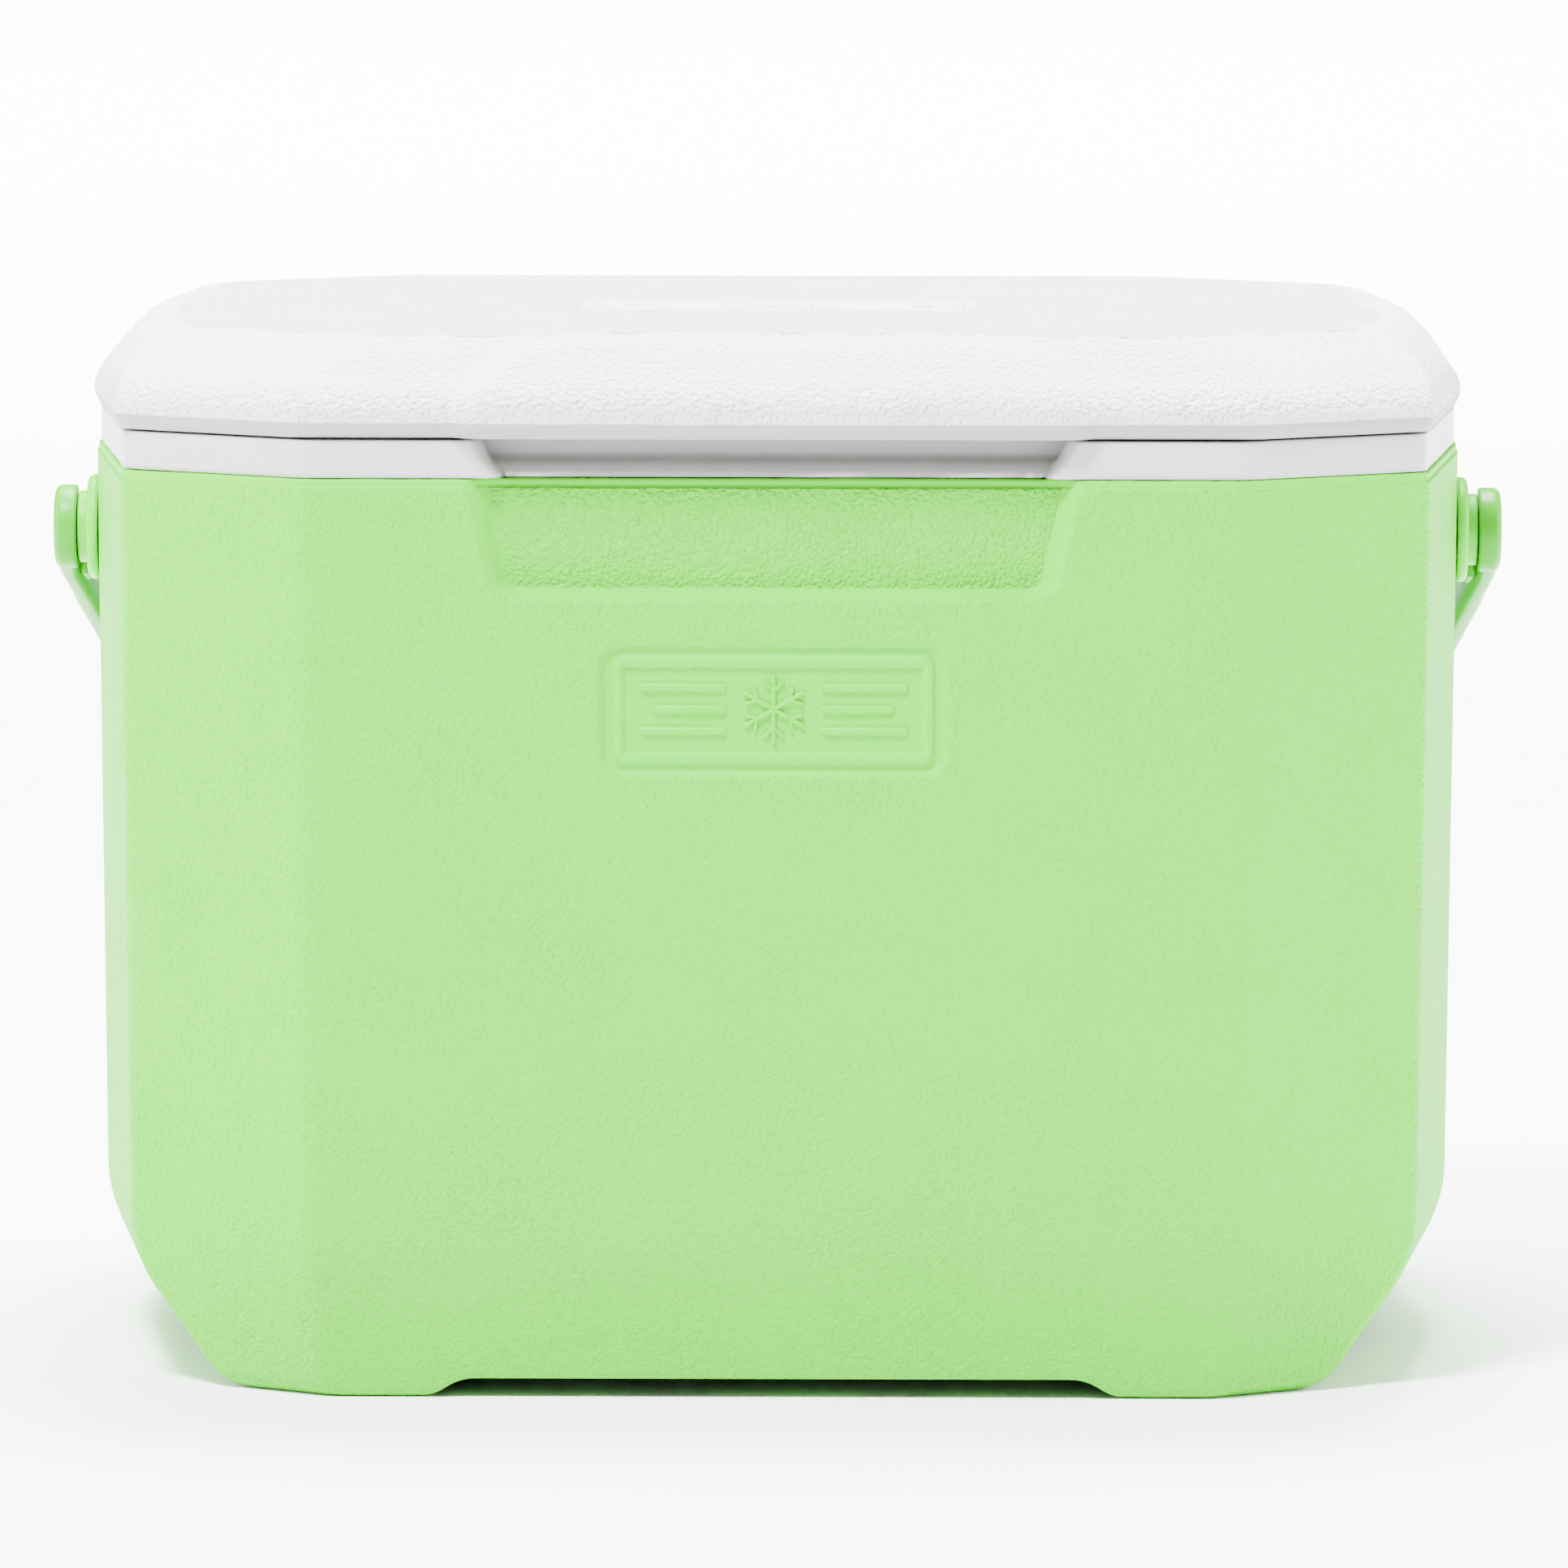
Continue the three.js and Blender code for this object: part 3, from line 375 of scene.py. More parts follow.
pressed = np.where(front, front_depth(wall_xy[:, :, 0], heights), 0)
wall = np.dstack([wall_xy[:, :, 0], wall_xy[:, :, 1] + pressed, heights])
wall_grain = np.where(front, front_grain(wall_xy[:, :, 0], heights), 1.0)
wall_grain = wall_grain * np.clip((LIP["low"] - heights) / 0.3, 0, 1) * np.clip((heights - lift) / 1.5, 0, 1)

# %% The sole, the turned-in lip and a thin inner skin
SOLE_RINGS = 30
inward = (np.linspace(0, 1, SOLE_RINGS) ** 0.9)[:, None]
sole_xy = wall[:1, :, :2] * (1 - inward)[:, :, None]
sole = np.dstack([sole_xy, channel_height(sole_xy[:, :, 0], sole_xy[:, :, 1])])
sole[0] = wall[0]
lip_shares = np.array([0.0, 1.8, 4.5])
top_in = np.stack([wall[-1] * [1 - d / 200, 1 - d / 140, 1] for d in lip_shares])
inner_skin = np.stack([top_in[-1] * [1 - d / 200, 1 - d / 140, 0] + [0, 0, z]
                       for d, z in ((1, 261), (6, 256), (8, 60), (42, 9.5), (199, 9.5))])
inner_skin[-1, :, :2] *= 0
shell_patches = [wall, sole, top_in, np.concatenate([top_in[-1:], inner_skin])]
shell_grains = [wall_grain] + [np.zeros(patch.shape[:2]) for patch in shell_patches[1:]]
# The open number is 0 on the sole, the turned-in lip and the inner skin: there the shell's green is darkened
# as painted shade.
shell_open = [np.ones(wall.shape[:2])] + [np.zeros(patch.shape[:2]) for patch in shell_patches[1:]]
shell_piece = make_piece("shell_skin", shell_patches, "cooler_body", "green_shell", ["outer_shell"],
                         grain=shell_grains, open=shell_open)

# %% [markdown]
# ## The liner's rim
# The liner's white rim stands on the shell as one profile carried round the same outline: up the
# outer face, over a small radius and in to the tub's mouth. In the middle of the front the profile
# changes to a notch with a sloping sill, and a mask that swings like a quarter circle blends one
# profile into the other, which gives the blocks at its ends their rounded upright corners.

# %% The rim's two profiles
RIM_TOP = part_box("inner_liner")[1][2] / MM
RIM_LOW = SHELL_TOP + 0.3
PROFILE_SHARES = [0, 0.3, 0.62, 0.66, 1]
rise = np.linspace(0, 1, 9)
RIM_ROUND = 0.7
arc = np.radians(np.linspace(0, 90, 6))[1:]


def rim_profile(outer, knee, back):
    """Inset and height up a rim: from its foot at the outer inset, through the knees, up its back
    face, and over a quarter circle onto the top."""
    inset = np.concatenate([np.interp(rise, PROFILE_SHARES, [outer, *knee[0], back, back]),
                            back + RIM_ROUND * (1 - np.cos(arc))])
    face_top = RIM_TOP - RIM_ROUND
    z = np.concatenate([np.interp(rise, PROFILE_SHARES, [RIM_LOW, *knee[1], knee[1][-1] + 0.5, face_top]),
                        face_top + RIM_ROUND * np.sin(arc)])
    return np.stack([inset, z], axis=1)


NOTCH = dict(half=80.0, lean=3.0, corner=4.2, setback=6.9, sill=265.4)
plain = rim_profile(1.2, ([1.2, 1.2], [267.5, 270.5]), 1.2)
notched = rim_profile(6.9, ([8.0, 12.0], [268.2, 269.3]), 12.0)
rim_stations = steps((0, 70, 14), (70, 76, 2), (76, 90, 0.35), (90, 96, 2), (96, 120, 6))
rim_spans = [across(rim_stations, lambda s: 0 * s)] + [np.linspace(0, 1, n) for n in (5, 8, 3, 8, 5)]
rim_spans += [np.linspace(0, 1, 12)] + [np.linspace(0, 1, n) for n in (5, 8, 3, 8, 5)]
flat_rows = np.zeros((len(plain), 4))
rim_radii = np.tile([14.0, 7.0, 30.0], (len(plain), 1))
rim_plain = outline(flat_rows + plain[:, :1], rim_radii, rim_spans)
rim_x = rim_plain[:, :, 0]
notch_half = NOTCH["half"] + NOTCH["lean"] * (plain[:, 1:] - 270) / 5
beyond = np.clip((np.abs(rim_x) - notch_half) / NOTCH["corner"], 0, 1)
in_notch = (1 - np.sqrt(1 - (1 - beyond) ** 2)) * (rim_plain[:, :, 1] < 0)
rim_y = rim_plain[:, :, 1] + in_notch * (notched[:, :1] - plain[:, :1])
rim_z = plain[:, 1:] + in_notch * (notched[:, 1:] - plain[:, 1:])
rim = np.dstack([rim_x, rim_y, rim_z])
print("rim grid:", rim.shape[:2])

# %% [markdown]
# From the rim's top edge the surface crosses to the tub's mouth, a rounded oblong, and goes down
# the leaning tub walls to its floor. Each ring has as many points as the rim, so the seam closes.
# The rim's points are spread sideways first, so that none of them cross beside the notch.

# %% The tub
TUB = dict(mouth=(168.0, 107.0), floor=(156.0, 96.0), floor_z=36.0, corner=24.0, cove=14.0, lip=1.6,
           spread=1.25)


def oblong(ring, half_x, half_y, corner):
    """Each point of a ring is sent straight out or in onto an oblong with round corners: the point
    keeps its share of the way round, counted by angle once the ring is stretched square."""
    aspect = half_x / half_y
    angle = np.arctan2(ring[:, 1] * aspect, ring[:, 0])
    ux, uy = np.cos(angle), np.sin(angle)
    reach = half_x / np.maximum(np.abs(ux), np.abs(uy))
    x, y = ux * reach, uy * reach / aspect
    core_x = np.clip(x, corner - half_x, half_x - corner)
    core_y = np.clip(y, corner - half_y, half_y - corner)
    away = np.stack([x - core_x, y - core_y], axis=1)
    length = np.maximum(np.linalg.norm(away, axis=1), 1e-9)[:, None]
    rounded = np.stack([core_x, core_y], axis=1) + away / length * corner
    in_corner = np.abs(away).min(axis=1)[:, None] > 1e-6
    return np.where(in_corner, rounded, np.stack([x, y], axis=1))


def tub_ring(z, inset):
    share = (z - TUB["floor_z"]) / (RIM_TOP - TUB["floor_z"])
    half = [f + (m - f) * share - inset for f, m in zip(TUB["floor"], TUB["mouth"])]
    loop = oblong(rim_plain[-1] * [TUB["spread"], 1], *half, max(2.0, TUB["corner"] - inset * 0.6))
    return np.column_stack([loop, np.full(len(loop), z)])


cove = np.radians(np.linspace(0, 90, 8))
lip = np.radians(np.linspace(0, 90, 5))
tub_rows = [tub_ring(RIM_TOP - TUB["lip"] * (1 - math.sin(a)), -TUB["lip"] * (1 - math.cos(a)))
            for a in lip[::-1]]
tub_rows += [tub_ring(z, 0) for z in (250, 190, 130, 80)]
tub_rows += [tub_ring(TUB["floor_z"] + TUB["cove"] * (1 - math.sin(a)), TUB["cove"] * (1 - math.cos(a)))
             for a in cove]
tub = np.stack(tub_rows)
top_shares = np.linspace(0, 1, 5)[:, None, None]
rim_top = rim[-1] * (1 - top_shares) + tub[0] * top_shares
floor_shares = np.linspace(1, 0, 7)[:, None, None]
tub_floor = tub[-1] * floor_shares * [1, 1, 0] + [0, 0, TUB["floor_z"]]
LINER_SKIN = 1.9
OUTER_FLOOR = TUB["floor_z"] - LINER_SKIN
outside = np.stack([rim[0], rim[0] * [0.93, 0.93, 1], tub_ring(RIM_LOW, -LINER_SKIN)])
under = np.stack([tub_ring(z, inset) for z, inset in
                  ((RIM_LOW, -LINER_SKIN), (120, -LINER_SKIN), (40, -LINER_SKIN), (OUTER_FLOOR, 6))])
under_floor = under[-1] * floor_shares * [1, 1, 0] + [0, 0, OUTER_FLOOR]
liner_patches = [rim, rim_top, tub, tub_floor, outside, under, under_floor]
# The open number falls to 0 in the notch: there the liner's white is darkened as painted shade.
liner_open = [1 - in_notch] + [np.ones(patch.shape[:2]) for patch in liner_patches[1:]]
liner_piece = make_piece("liner_skin", liner_patches, "cooler_body", "white_liner", ["inner_liner"],
                         open=liner_open)

# %% [markdown]
# ## The lid
# The lid's outer form is the same twelve-walled outline at a series of heights, each wall with its
# own inset at each height. A smooth curve through those insets gives the rounded shoulder, and the
# corners stay crisp because the four kinds of wall pull in at different rates.

# %% The lid's walls, from its lower edge to its shoulder
lid_low, lid_high = (np.array(corner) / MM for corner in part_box("lid_cover"))
LID_BOTTOM = lid_low[2]
LID_TOP = lid_high[2] - 1.4
LID_WALLS = np.array([          # height, then the insets of front, bevel, facet and flank
    [275.6, 2.6, 1.6, 0.6, 1.1],
    [276.4, 1.3, 0.7, 0.2, 0.8],
    [278.0, -0.4, -0.4, -0.7, 0.2],
    [279.6, -0.8, -0.8, -1.0, -0.2],
    [280.4, -1.0, -1.0, -1.2, -0.3],
    [284.0, -0.2, 0.0, -0.8, 0.6],
    [289.0, 4.0, 4.5, 0.6, 3.8],
    [293.0, 9.0, 10.0, 3.2, 6.8],
    [297.0, 13.4, 16.5, 7.0, 10.8],
    [300.0, 17.0, 22.0, 11.0, 14.5],
    [302.0, 19.5, 25.5, 16.0, 19.5],
    [303.0, 20.9, 28.0, 22.0, 25.0]])


def smooth_through(at, knots, values):
    """A curve through the knots whose slope at each knot is the average of its neighbours' slopes,
    carried between knots by cubic blends; columns of values are handled together."""
    gap = np.diff(knots)
    secant = np.diff(values, axis=0) / gap[:, None]
    slope = np.concatenate([secant[:1], (secant[:-1] + secant[1:]) / 2, secant[-1:]])
    flat = secant[:-1] * secant[1:] <= 0
    slope[1:-1][flat] = 0
    k = np.clip(np.searchsorted(knots, at, side="right") - 1, 0, len(knots) - 2)
    t = ((at - knots[k]) / gap[k])[:, None]
    wide = gap[k][:, None]
    return ((2 * t ** 3 - 3 * t ** 2 + 1) * values[k] + (t ** 3 - 2 * t ** 2 + t) * wide * slope[k]
            + (3 * t ** 2 - 2 * t ** 3) * values[k + 1] + (t ** 3 - t ** 2) * wide * slope[k + 1])


LIP_FORM = np.array([           # height on the lid, then the lip's half width, reach forward, height
    [275.6, 90.0, 141.6, 275.6],
    [276.4, 90.6, 143.0, 276.4],
    [278.0, 91.5, 144.35, 278.0],
    [280.4, 91.6, 144.45, 280.6],
    [284.0, 91.0, 144.0, 284.3],
    [289.0, 89.0, 140.6, 289.6],
    [293.0, 85.5, 136.4, 293.8],
    [297.0, 81.0, 131.6, 298.0],
    [300.0, 75.5, 127.6, 301.2],
    [302.0, 70.0, 124.6, 303.0],
    [303.0, 64.0, 122.4, 304.25]])
lid_rows = steps((LID_BOTTOM, 276.4, 0.2), (276.4, 279.6, 0.5), (279.6, 281, 0.2), (281, 301, 0.8),
                 (301, LID_TOP, 0.25))
lid_insets = smooth_through(lid_rows, LID_WALLS[:, 0], LID_WALLS[:, 1:])
lip_rows = smooth_through(lid_rows, LIP_FORM[:, 0], LIP_FORM[:, 1:])
print("lid rows:", len(lid_rows), "lip half width, low and high:", lip_rows[0, 0], lip_rows[-1, 0])

# %% [markdown]
# In the middle of the front a finger lip stands a few millimetres proud. It narrows as it climbs,
# so the columns beside it lean with its edge. Its own section is blended with the lid's by a mask
# that rises quickly at the lip's edge and then eases onto its face.

# %% The lid's wall with its finger lip
LIP_SIDE = 5.5
LIP_KNOT = 80.0
lid_stations = steps((0, 60, 10), (60, LIP_KNOT - 12, 3), (LIP_KNOT - 12, LIP_KNOT + 2, 0.6),
                     (LIP_KNOT + 2, 100, 3))


def lip_shift(s):
    lean = np.interp(s, [0, 55, 64, 84, 100], [0, 0.75, 1, 1, 0])
    return (lip_rows[:, :1] - LIP_KNOT) * lean[None, :]


POCKET = dict(x=105.0, half=24.0, back=137.6)
pocket_stations = steps((0, 72, 9), (72, 80.6, 2), (80.6, 82.6, 0.4), (82.6, 127.4, 6), (127.4, 129.4, 0.4))


def back_span(start, end):
    """Columns close together at the pockets' ends, drawn in where the back wall is shorter."""
    half = np.abs(start - end)[:, None] / 2
    fixed = np.concatenate([-pocket_stations[:0:-1], pocket_stations])
    x = fixed * np.minimum(1, (half - 0.8) / pocket_stations[-1])
    return (np.concatenate([-half, x, half], axis=1) + half) / (2 * half)


lid_spans = [across(lid_stations, lip_shift)] + [np.linspace(0, 1, n) for n in (7, 9, 3, 9, 7)]
lid_spans += [back_span] + [np.linspace(0, 1, n) for n in (7, 9, 3, 9, 7)]
share_up = (lid_rows - LID_BOTTOM) / (LID_TOP - LID_BOTTOM)
lid_radii = np.stack([14 + 10 * share_up, 2.0 + 3 * share_up, 30 + 20 * share_up], axis=1)
lid_plan = outline(lid_insets, lid_radii, lid_spans, arcs=(8, 10, 4))
lid_x = lid_plan[:, :, 0]
lip_in = (lip_rows[:, :1] - np.abs(lid_x)) / LIP_SIDE
lip_mask = ramp(lip_in, 0.3, 0.8) * (lid_plan[:, :, 1] < -60)
lid_y = lid_plan[:, :, 1] + lip_mask * (-lip_rows[:, 1:2] - lid_plan[:, :, 1])
lid_z = lid_rows[:, None] + lip_mask * (lip_rows[:, 2:] - lid_rows[:, None])


def pocketed(x, y):
    """The back wall stands further in across each hinge pocket, with the pocket's ends eased."""
    beside = (POCKET["half"] - np.abs(np.abs(x) - POCKET["x"])) / 1.2
    return np.where((y > POCKET["back"]) & (beside > 0), y + ramp(beside) * (POCKET["back"] - y), y)


lid_wall = np.dstack([lid_x, pocketed(lid_x, lid_y), lid_z])

# %% [markdown]
# The top closes in rings from the shoulder to the sunk emblem panel, then down into it and to the
# middle. The lip's crown fades into the top behind the shoulder. Two numbers are stored at each
# point. One is how deep the grain was cut: fully on the lower part of the wall and on the flat top,
# and less on the shoulder between them. The other is how open the surface is to light, which sets
# painted shade: 0 darkens the hidden hem and the smooth band at the lower edge, and TOP_PAINTED_SHADE greys
# the top a little.

# %% The lid's top
TOP_PANEL = dict(half=59.0, tall=22.0, y=2.0, corner=8.0, depth=1.2)
CROWN_BACK = 92.0


def top_height(x, y):
    """The flat top, a faint crown over the middle, the lip's crown at the front and the sunk panel."""
    lift = lid_high[2] - 0.15 - LID_TOP
    crown = lift * ramp((70.0 - np.abs(x)) / 12, 0.4, 0.8) * ramp((-CROWN_BACK - y) / 24, 0.5, 0.5)
    deep = inside_corner(TOP_PANEL["half"] - np.abs(x), TOP_PANEL["tall"] - np.abs(y - TOP_PANEL["y"]),
                         TOP_PANEL["corner"])
    return LID_TOP + crown - emblem_relief(deep, 1.4, TOP_PANEL["depth"])


rim_ring = lid_wall[-1]


def toward(half_x, half_y):
    loop = oblong(rim_ring[:, :2], half_x, half_y, TOP_PANEL["corner"])
    return loop + [0, TOP_PANEL["y"]]


panel_out, panel_in = toward(TOP_PANEL["half"] + 0.6, TOP_PANEL["tall"] + 0.6), toward(51.0, 14.0)
out_shares = steps((0, 0.3, 0.05), (0.3, 1, 0.1))[:, None, None]
rings_out = rim_ring[:, :2] * (1 - out_shares) + panel_out * out_shares
in_shares = np.linspace(0, 1, 22)[:, None, None]
rings_in = panel_out * (1 - in_shares) + panel_in * in_shares
close_shares = np.linspace(1, 0, 7)[:, None, None]
rings_close = (panel_in - [0, TOP_PANEL["y"]]) * close_shares + [0, TOP_PANEL["y"]]
rings_close[-1] = [0, TOP_PANEL["y"]]


def with_height(rings):
    return np.dstack([rings, top_height(rings[:, :, 0], rings[:, :, 1])])


lid_top = [with_height(rings) for rings in (rings_out, rings_in, rings_close)]
lid_top[0][0] = rim_ring
fade = np.clip(out_shares * 8, 0, 1)[:, :, 0]
lid_top[0][:, :, 2] = rim_ring[None, :, 2] * (1 - fade) + lid_top[0][:, :, 2] * fade
HEM_FORM = ((0, LID_BOTTOM), (0.4, LID_BOTTOM), (2.2, LID_BOTTOM), (2.4, 278.2), (60, 278.2), (199, 278.2))
hem = np.stack([np.column_stack([lid_wall[0, :, 0] * (1 - d / 200), lid_wall[0, :, 1] * (1 - d / 140),
                                 np.full(len(rim_ring), z)]) for d, z in HEM_FORM])
hem[-1, :, :2] = 0
lid_patches = [lid_wall] + lid_top + [hem]
BAND_TOP = 279.7
above_band = np.clip((lid_z - BAND_TOP) / 0.4, 0, 1)
wall_cut = above_band * (0.4 + 0.6 * np.clip((291.0 - lid_z) / 6.0, 0, 1))


def top_grain(rings):
    deep = inside_corner(TOP_PANEL["half"] - np.abs(rings[:, :, 0]),
                         TOP_PANEL["tall"] - np.abs(rings[:, :, 1] - TOP_PANEL["y"]), TOP_PANEL["corner"])
    return 1 - 0.85 * np.clip(deep + 0.6, 0, 1)


lid_grains = [wall_cut] + [top_grain(rings) for rings in lid_top] + [np.zeros(hem.shape[:2])]
# Painted shade on the lid: TOP_PAINTED_SHADE greys the flat top a little, and 0 darkens the band and hem.
TOP_PAINTED_SHADE = 0.8
lid_open = [above_band] + [np.full(rings.shape[:2], TOP_PAINTED_SHADE) for rings in lid_top]
lid_open += [np.zeros(hem.shape[:2])]
lid_piece = make_piece("lid_skin", lid_patches, "lid", "white_lid", ["lid_cover"],
                       grain=lid_grains, open=lid_open)

# %% [markdown]
# ## The bail handle
# The bail is one moulding: a flat arm from each pivot, a round corner and a deep grip across the
# back. It is swept: an oblong section with soft corners is carried along a path, square to it, and
# the section's half thickness and half height change on the way. The path is drawn in the bail's
# own plane and then lowered behind the shell about the pivots.

# %% The bail's path and sections
PIVOT_Z = 237.0
STOW = math.radians(23.4)
BAIL = dict(inner=206.7, thick=6.7, lean=0.106, lean_from=12.0, grip=165.0, grip_thick=14.0,
            grip_tall=24.0, arm_tall=23.0, corner=26.0, eye=12.4, step=37.0)


def stow(points):
    """Turns points drawn in the bail's plane (x, distance from the pivots, height) down behind."""
    x, r, h = np.moveaxis(points, -1, 0)
    y = r * math.cos(STOW) + h * math.sin(STOW)
    z = PIVOT_Z - r * math.sin(STOW) + h * math.cos(STOW)
    return np.stack([x, y, z], axis=-1)


def section(half_thick, half_tall, around=40, square=3.2):
    """A soft oblong: cosine and sine, each raised to 2/square, times the two half sizes."""
    angle = np.linspace(0, 2 * math.pi, around + 1)
    c, s = np.cos(angle), np.sin(angle)
    u = np.sign(c) * np.abs(c) ** (2 / square)
    v = np.sign(s) * np.abs(s) ** (2 / square)
    return half_thick[:, None] * u, half_tall[:, None] * v


arm_end = BAIL["grip"] - BAIL["corner"]
arm_r = steps((-2, 10, 3), (10, 35.5, 3), (35.5, 38.5, 0.4), (38.5, arm_end, 5))
middle_x = BAIL["inner"] + BAIL["thick"] / 2
arm_x = middle_x - BAIL["lean"] * np.maximum(0, arm_r - BAIL["lean_from"])
turn_angle = np.radians(np.linspace(0, 90, 19))[1:]
bend_x = arm_x[-1] - BAIL["corner"] * (1 - np.cos(turn_angle))
bend_r = arm_end + BAIL["corner"] * np.sin(turn_angle)
grip_x = np.linspace(bend_x[-1], 0, 26)[1:]
path = np.concatenate([np.stack([arm_x, arm_r], 1), np.stack([bend_x, bend_r], 1),
                       np.stack([grip_x, np.full(len(grip_x), BAIL["grip"])], 1)])
round_share = np.concatenate([np.zeros(len(arm_r)), np.linspace(0, 1, 19)[1:], np.ones(len(grip_x))])
thick = BAIL["thick"] + (BAIL["grip_thick"] - BAIL["thick"]) * round_share
tall_arm = np.interp(path[:, 1], [0, 60], [2 * BAIL["eye"] - 1, BAIL["arm_tall"]])
tall_bend = BAIL["arm_tall"] + (BAIL["grip_tall"] - BAIL["arm_tall"]) * round_share
tall = np.where(round_share > 0, tall_bend, tall_arm)
outward = 0.5 * ramp((path[:, 1] - BAIL["step"]) / 1.2) * (1 - round_share)
tangent = np.gradient(path, axis=0)
tangent /= np.linalg.norm(tangent, axis=1)[:, None]
square_to = np.stack([tangent[:, 1], -tangent[:, 0]], axis=1)
u, v = section(thick / 2 + outward / 2, tall / 2)
half_bail = np.dstack([path[:, :1] + square_to[:, :1] * (u + outward[:, None] / 2),
                       path[:, 1:] + square_to[:, 1:] * (u + outward[:, None] / 2), v])
start_cap = np.stack([half_bail[0] * 0 + half_bail[0].mean(axis=0), half_bail[0]])
right_half = np.concatenate([start_cap[:1], half_bail])
left_half = right_half * [-1, 1, 1]


def turned(profile, side, columns=64):
    """A turned form on an axis along X: profile rows are (radius, distance out from the middle)."""
    angle = np.linspace(0, 2 * math.pi, columns + 1)
    radius, out = np.array(profile, float).T
    return np.dstack([side * out[:, None] + 0 * angle, radius[:, None] * np.cos(angle),
                      radius[:, None] * np.sin(angle)])


def fillet(r0, x0, r1, x1, bulge=1, count=5):
    """A quarter ellipse from (r0, x0) to (r1, x1); bulge 1 leaves along the radius, -1 along the axis."""
    t = np.radians(np.linspace(0, 90, count))
    a, b = (np.sin(t), 1 - np.cos(t)) if bulge > 0 else (1 - np.cos(t), np.sin(t))
    return [(r0 + (r1 - r0) * p, x0 + (x1 - x0) * q) for p, q in zip(a, b)]


OUTER = BAIL["inner"] + BAIL["thick"]
BORE, SINK, SINK_DEEP = 6.3, 9.0, 2.5
EYE = BAIL["eye"]
eye_profile = ([(BORE, BAIL["inner"])] + fillet(EYE - 0.9, BAIL["inner"], EYE, BAIL["inner"] + 0.9)
               + fillet(EYE, OUTER - 2.4, EYE - 2.6, OUTER, -1, 7)
               + [(SINK + 0.3, OUTER), (SINK, OUTER - 0.3), (SINK, OUTER - SINK_DEEP)]
               + [(BORE, OUTER - SINK_DEEP), (BORE, BAIL["inner"])])
eyes = [turned(eye_profile, side) for side in (1, -1)]
web = section(np.full(6, 1.5), np.linspace(5.2, 3.0, 6), 24)
web_r = np.linspace(12.0, 26.0, 6)
webs = [np.dstack([side * (205.4 + web[0]), web_r[:, None] + 0 * web[0], web[1] - 5.5]) for side in (1, -1)]
webs = [np.concatenate([w[:1] * 0 + w[0].mean(axis=0), w, w[-1:] * 0 + w[-1].mean(axis=0)]) for w in webs]
bail_piece = make_piece("bail_skin", [stow(p) for p in [right_half, left_half] + eyes + webs], "bail",
                        "green_handle", ["bail_handle"])

# %% [markdown]
# ## The pivots
# Each end of the shell carries a round boss with a flange, a neck that the bail's eye runs against,
# and a pin whose broad head sits in the eye's countersink. All are turned profiles.

# %% Bosses and pins
def at_pivot(points):
    return points + [0, 0, PIVOT_Z]


for name, side in (("left", -1), ("right", 1)):
    boss = ([(BORE, 200.25), (15.5, 200.25)] + fillet(15.5, 201.6, 13.6, 203.6, -1, 6)
            + [(12.6, 203.6)] + fillet(12.6, 203.6, 12.0, 203.0, 1, 3)
            + fillet(11.6, 203.0, 10.6, 204.0, 1, 4)
            + [(10.6, 205.8)] + fillet(10.6, 205.8, 10.0, 206.4, -1, 4) + [(BORE, 206.4), (BORE, 200.25)])
    make_piece(f"boss_skin_{name}", [at_pivot(turned(boss, side))], "cooler_body", "green_handle",
               [f"pivot_boss_{name}"])
    seat = OUTER - SINK_DEEP + 0.3
    pin = ([(0, 191.0), (5.4, 191.0), (6.0, 191.6), (6.0, seat), (8.7, seat)]
           + fillet(8.7, seat + 1.3, 7.9, seat + 2.1, -1, 5)
           + [(3.4, seat + 2.1)] + fillet(3.4, seat + 2.1, 2.6, seat + 1.5, 1, 4) + [(0, seat + 1.5)])
    make_piece(f"pin_skin_{name}", [at_pivot(turned(pin, side))], "cooler_body", "green_handle",
               [f"pivot_pin_{name}"])

# %% [markdown]
# ## The emblems
# The emblem panels carry a plain sign for cold: a snowflake between short bars. Each stroke is a
# bead, a tube that is half round above and shallow below, closed at its ends by letting its radius
# fall to nothing over a quarter circle. The beads lie on the panel's floor, half sunk in it.

# %% Beads for the emblems
def bead(start, end, radius, height):
    """A bead from start to end in the panel's plane; its points are (across, up the panel, off it)."""
    start, end = np.array(start, float), np.array(end, float)
    length = np.linalg.norm(end - start)
    way = (end - start) / length
    quarter_turn = np.radians(np.linspace(0, 90, 6))
    s = np.concatenate([-radius * np.cos(quarter_turn), length + radius * np.sin(quarter_turn)])
    over = np.maximum(np.maximum(-s, s - length), 0)
    wide = np.sqrt(np.maximum(radius ** 2 - over ** 2, 0))
    phi = np.linspace(0, 2 * math.pi, 17)
    side = wide[:, None] * np.cos(phi)
    lift = (wide / radius)[:, None] * np.where(np.sin(phi) > 0, height * np.sin(phi), 0.3 * np.sin(phi))
    flat = start + s[:, None, None] * way + side[:, :, None] * np.array([-way[1], way[0]])
    return np.dstack([flat, lift])


def snowflake_and_bars(size):
    """Six arms with a pair of twigs each, and three bars of falling length on each side."""
    beads = []
    for k in range(6):
        angle = math.radians(90 + 60 * k)
        tip = np.array([math.cos(angle), math.sin(angle)]) * 9.4 * size
        beads.append(bead((0, 0), tip, 0.72 * size, 1.15))
        for bend in (-50, 50):
            twig = np.array([math.cos(angle + math.radians(bend)), math.sin(angle + math.radians(bend))])
            beads.append(bead(tip * 0.58, tip * 0.58 + twig * 3.3 * size, 0.6 * size, 1.0))
    for side in (-size, size):
        for height, far in ((6.2, 37.0), (0.0, 33.0), (-6.2, 37.0)):
            near_end, far_end = (side * 14.5, height * size), (side * far, height * size)
            beads.append(bead(near_end, far_end, 1.25 * size, 1.15))
    return beads


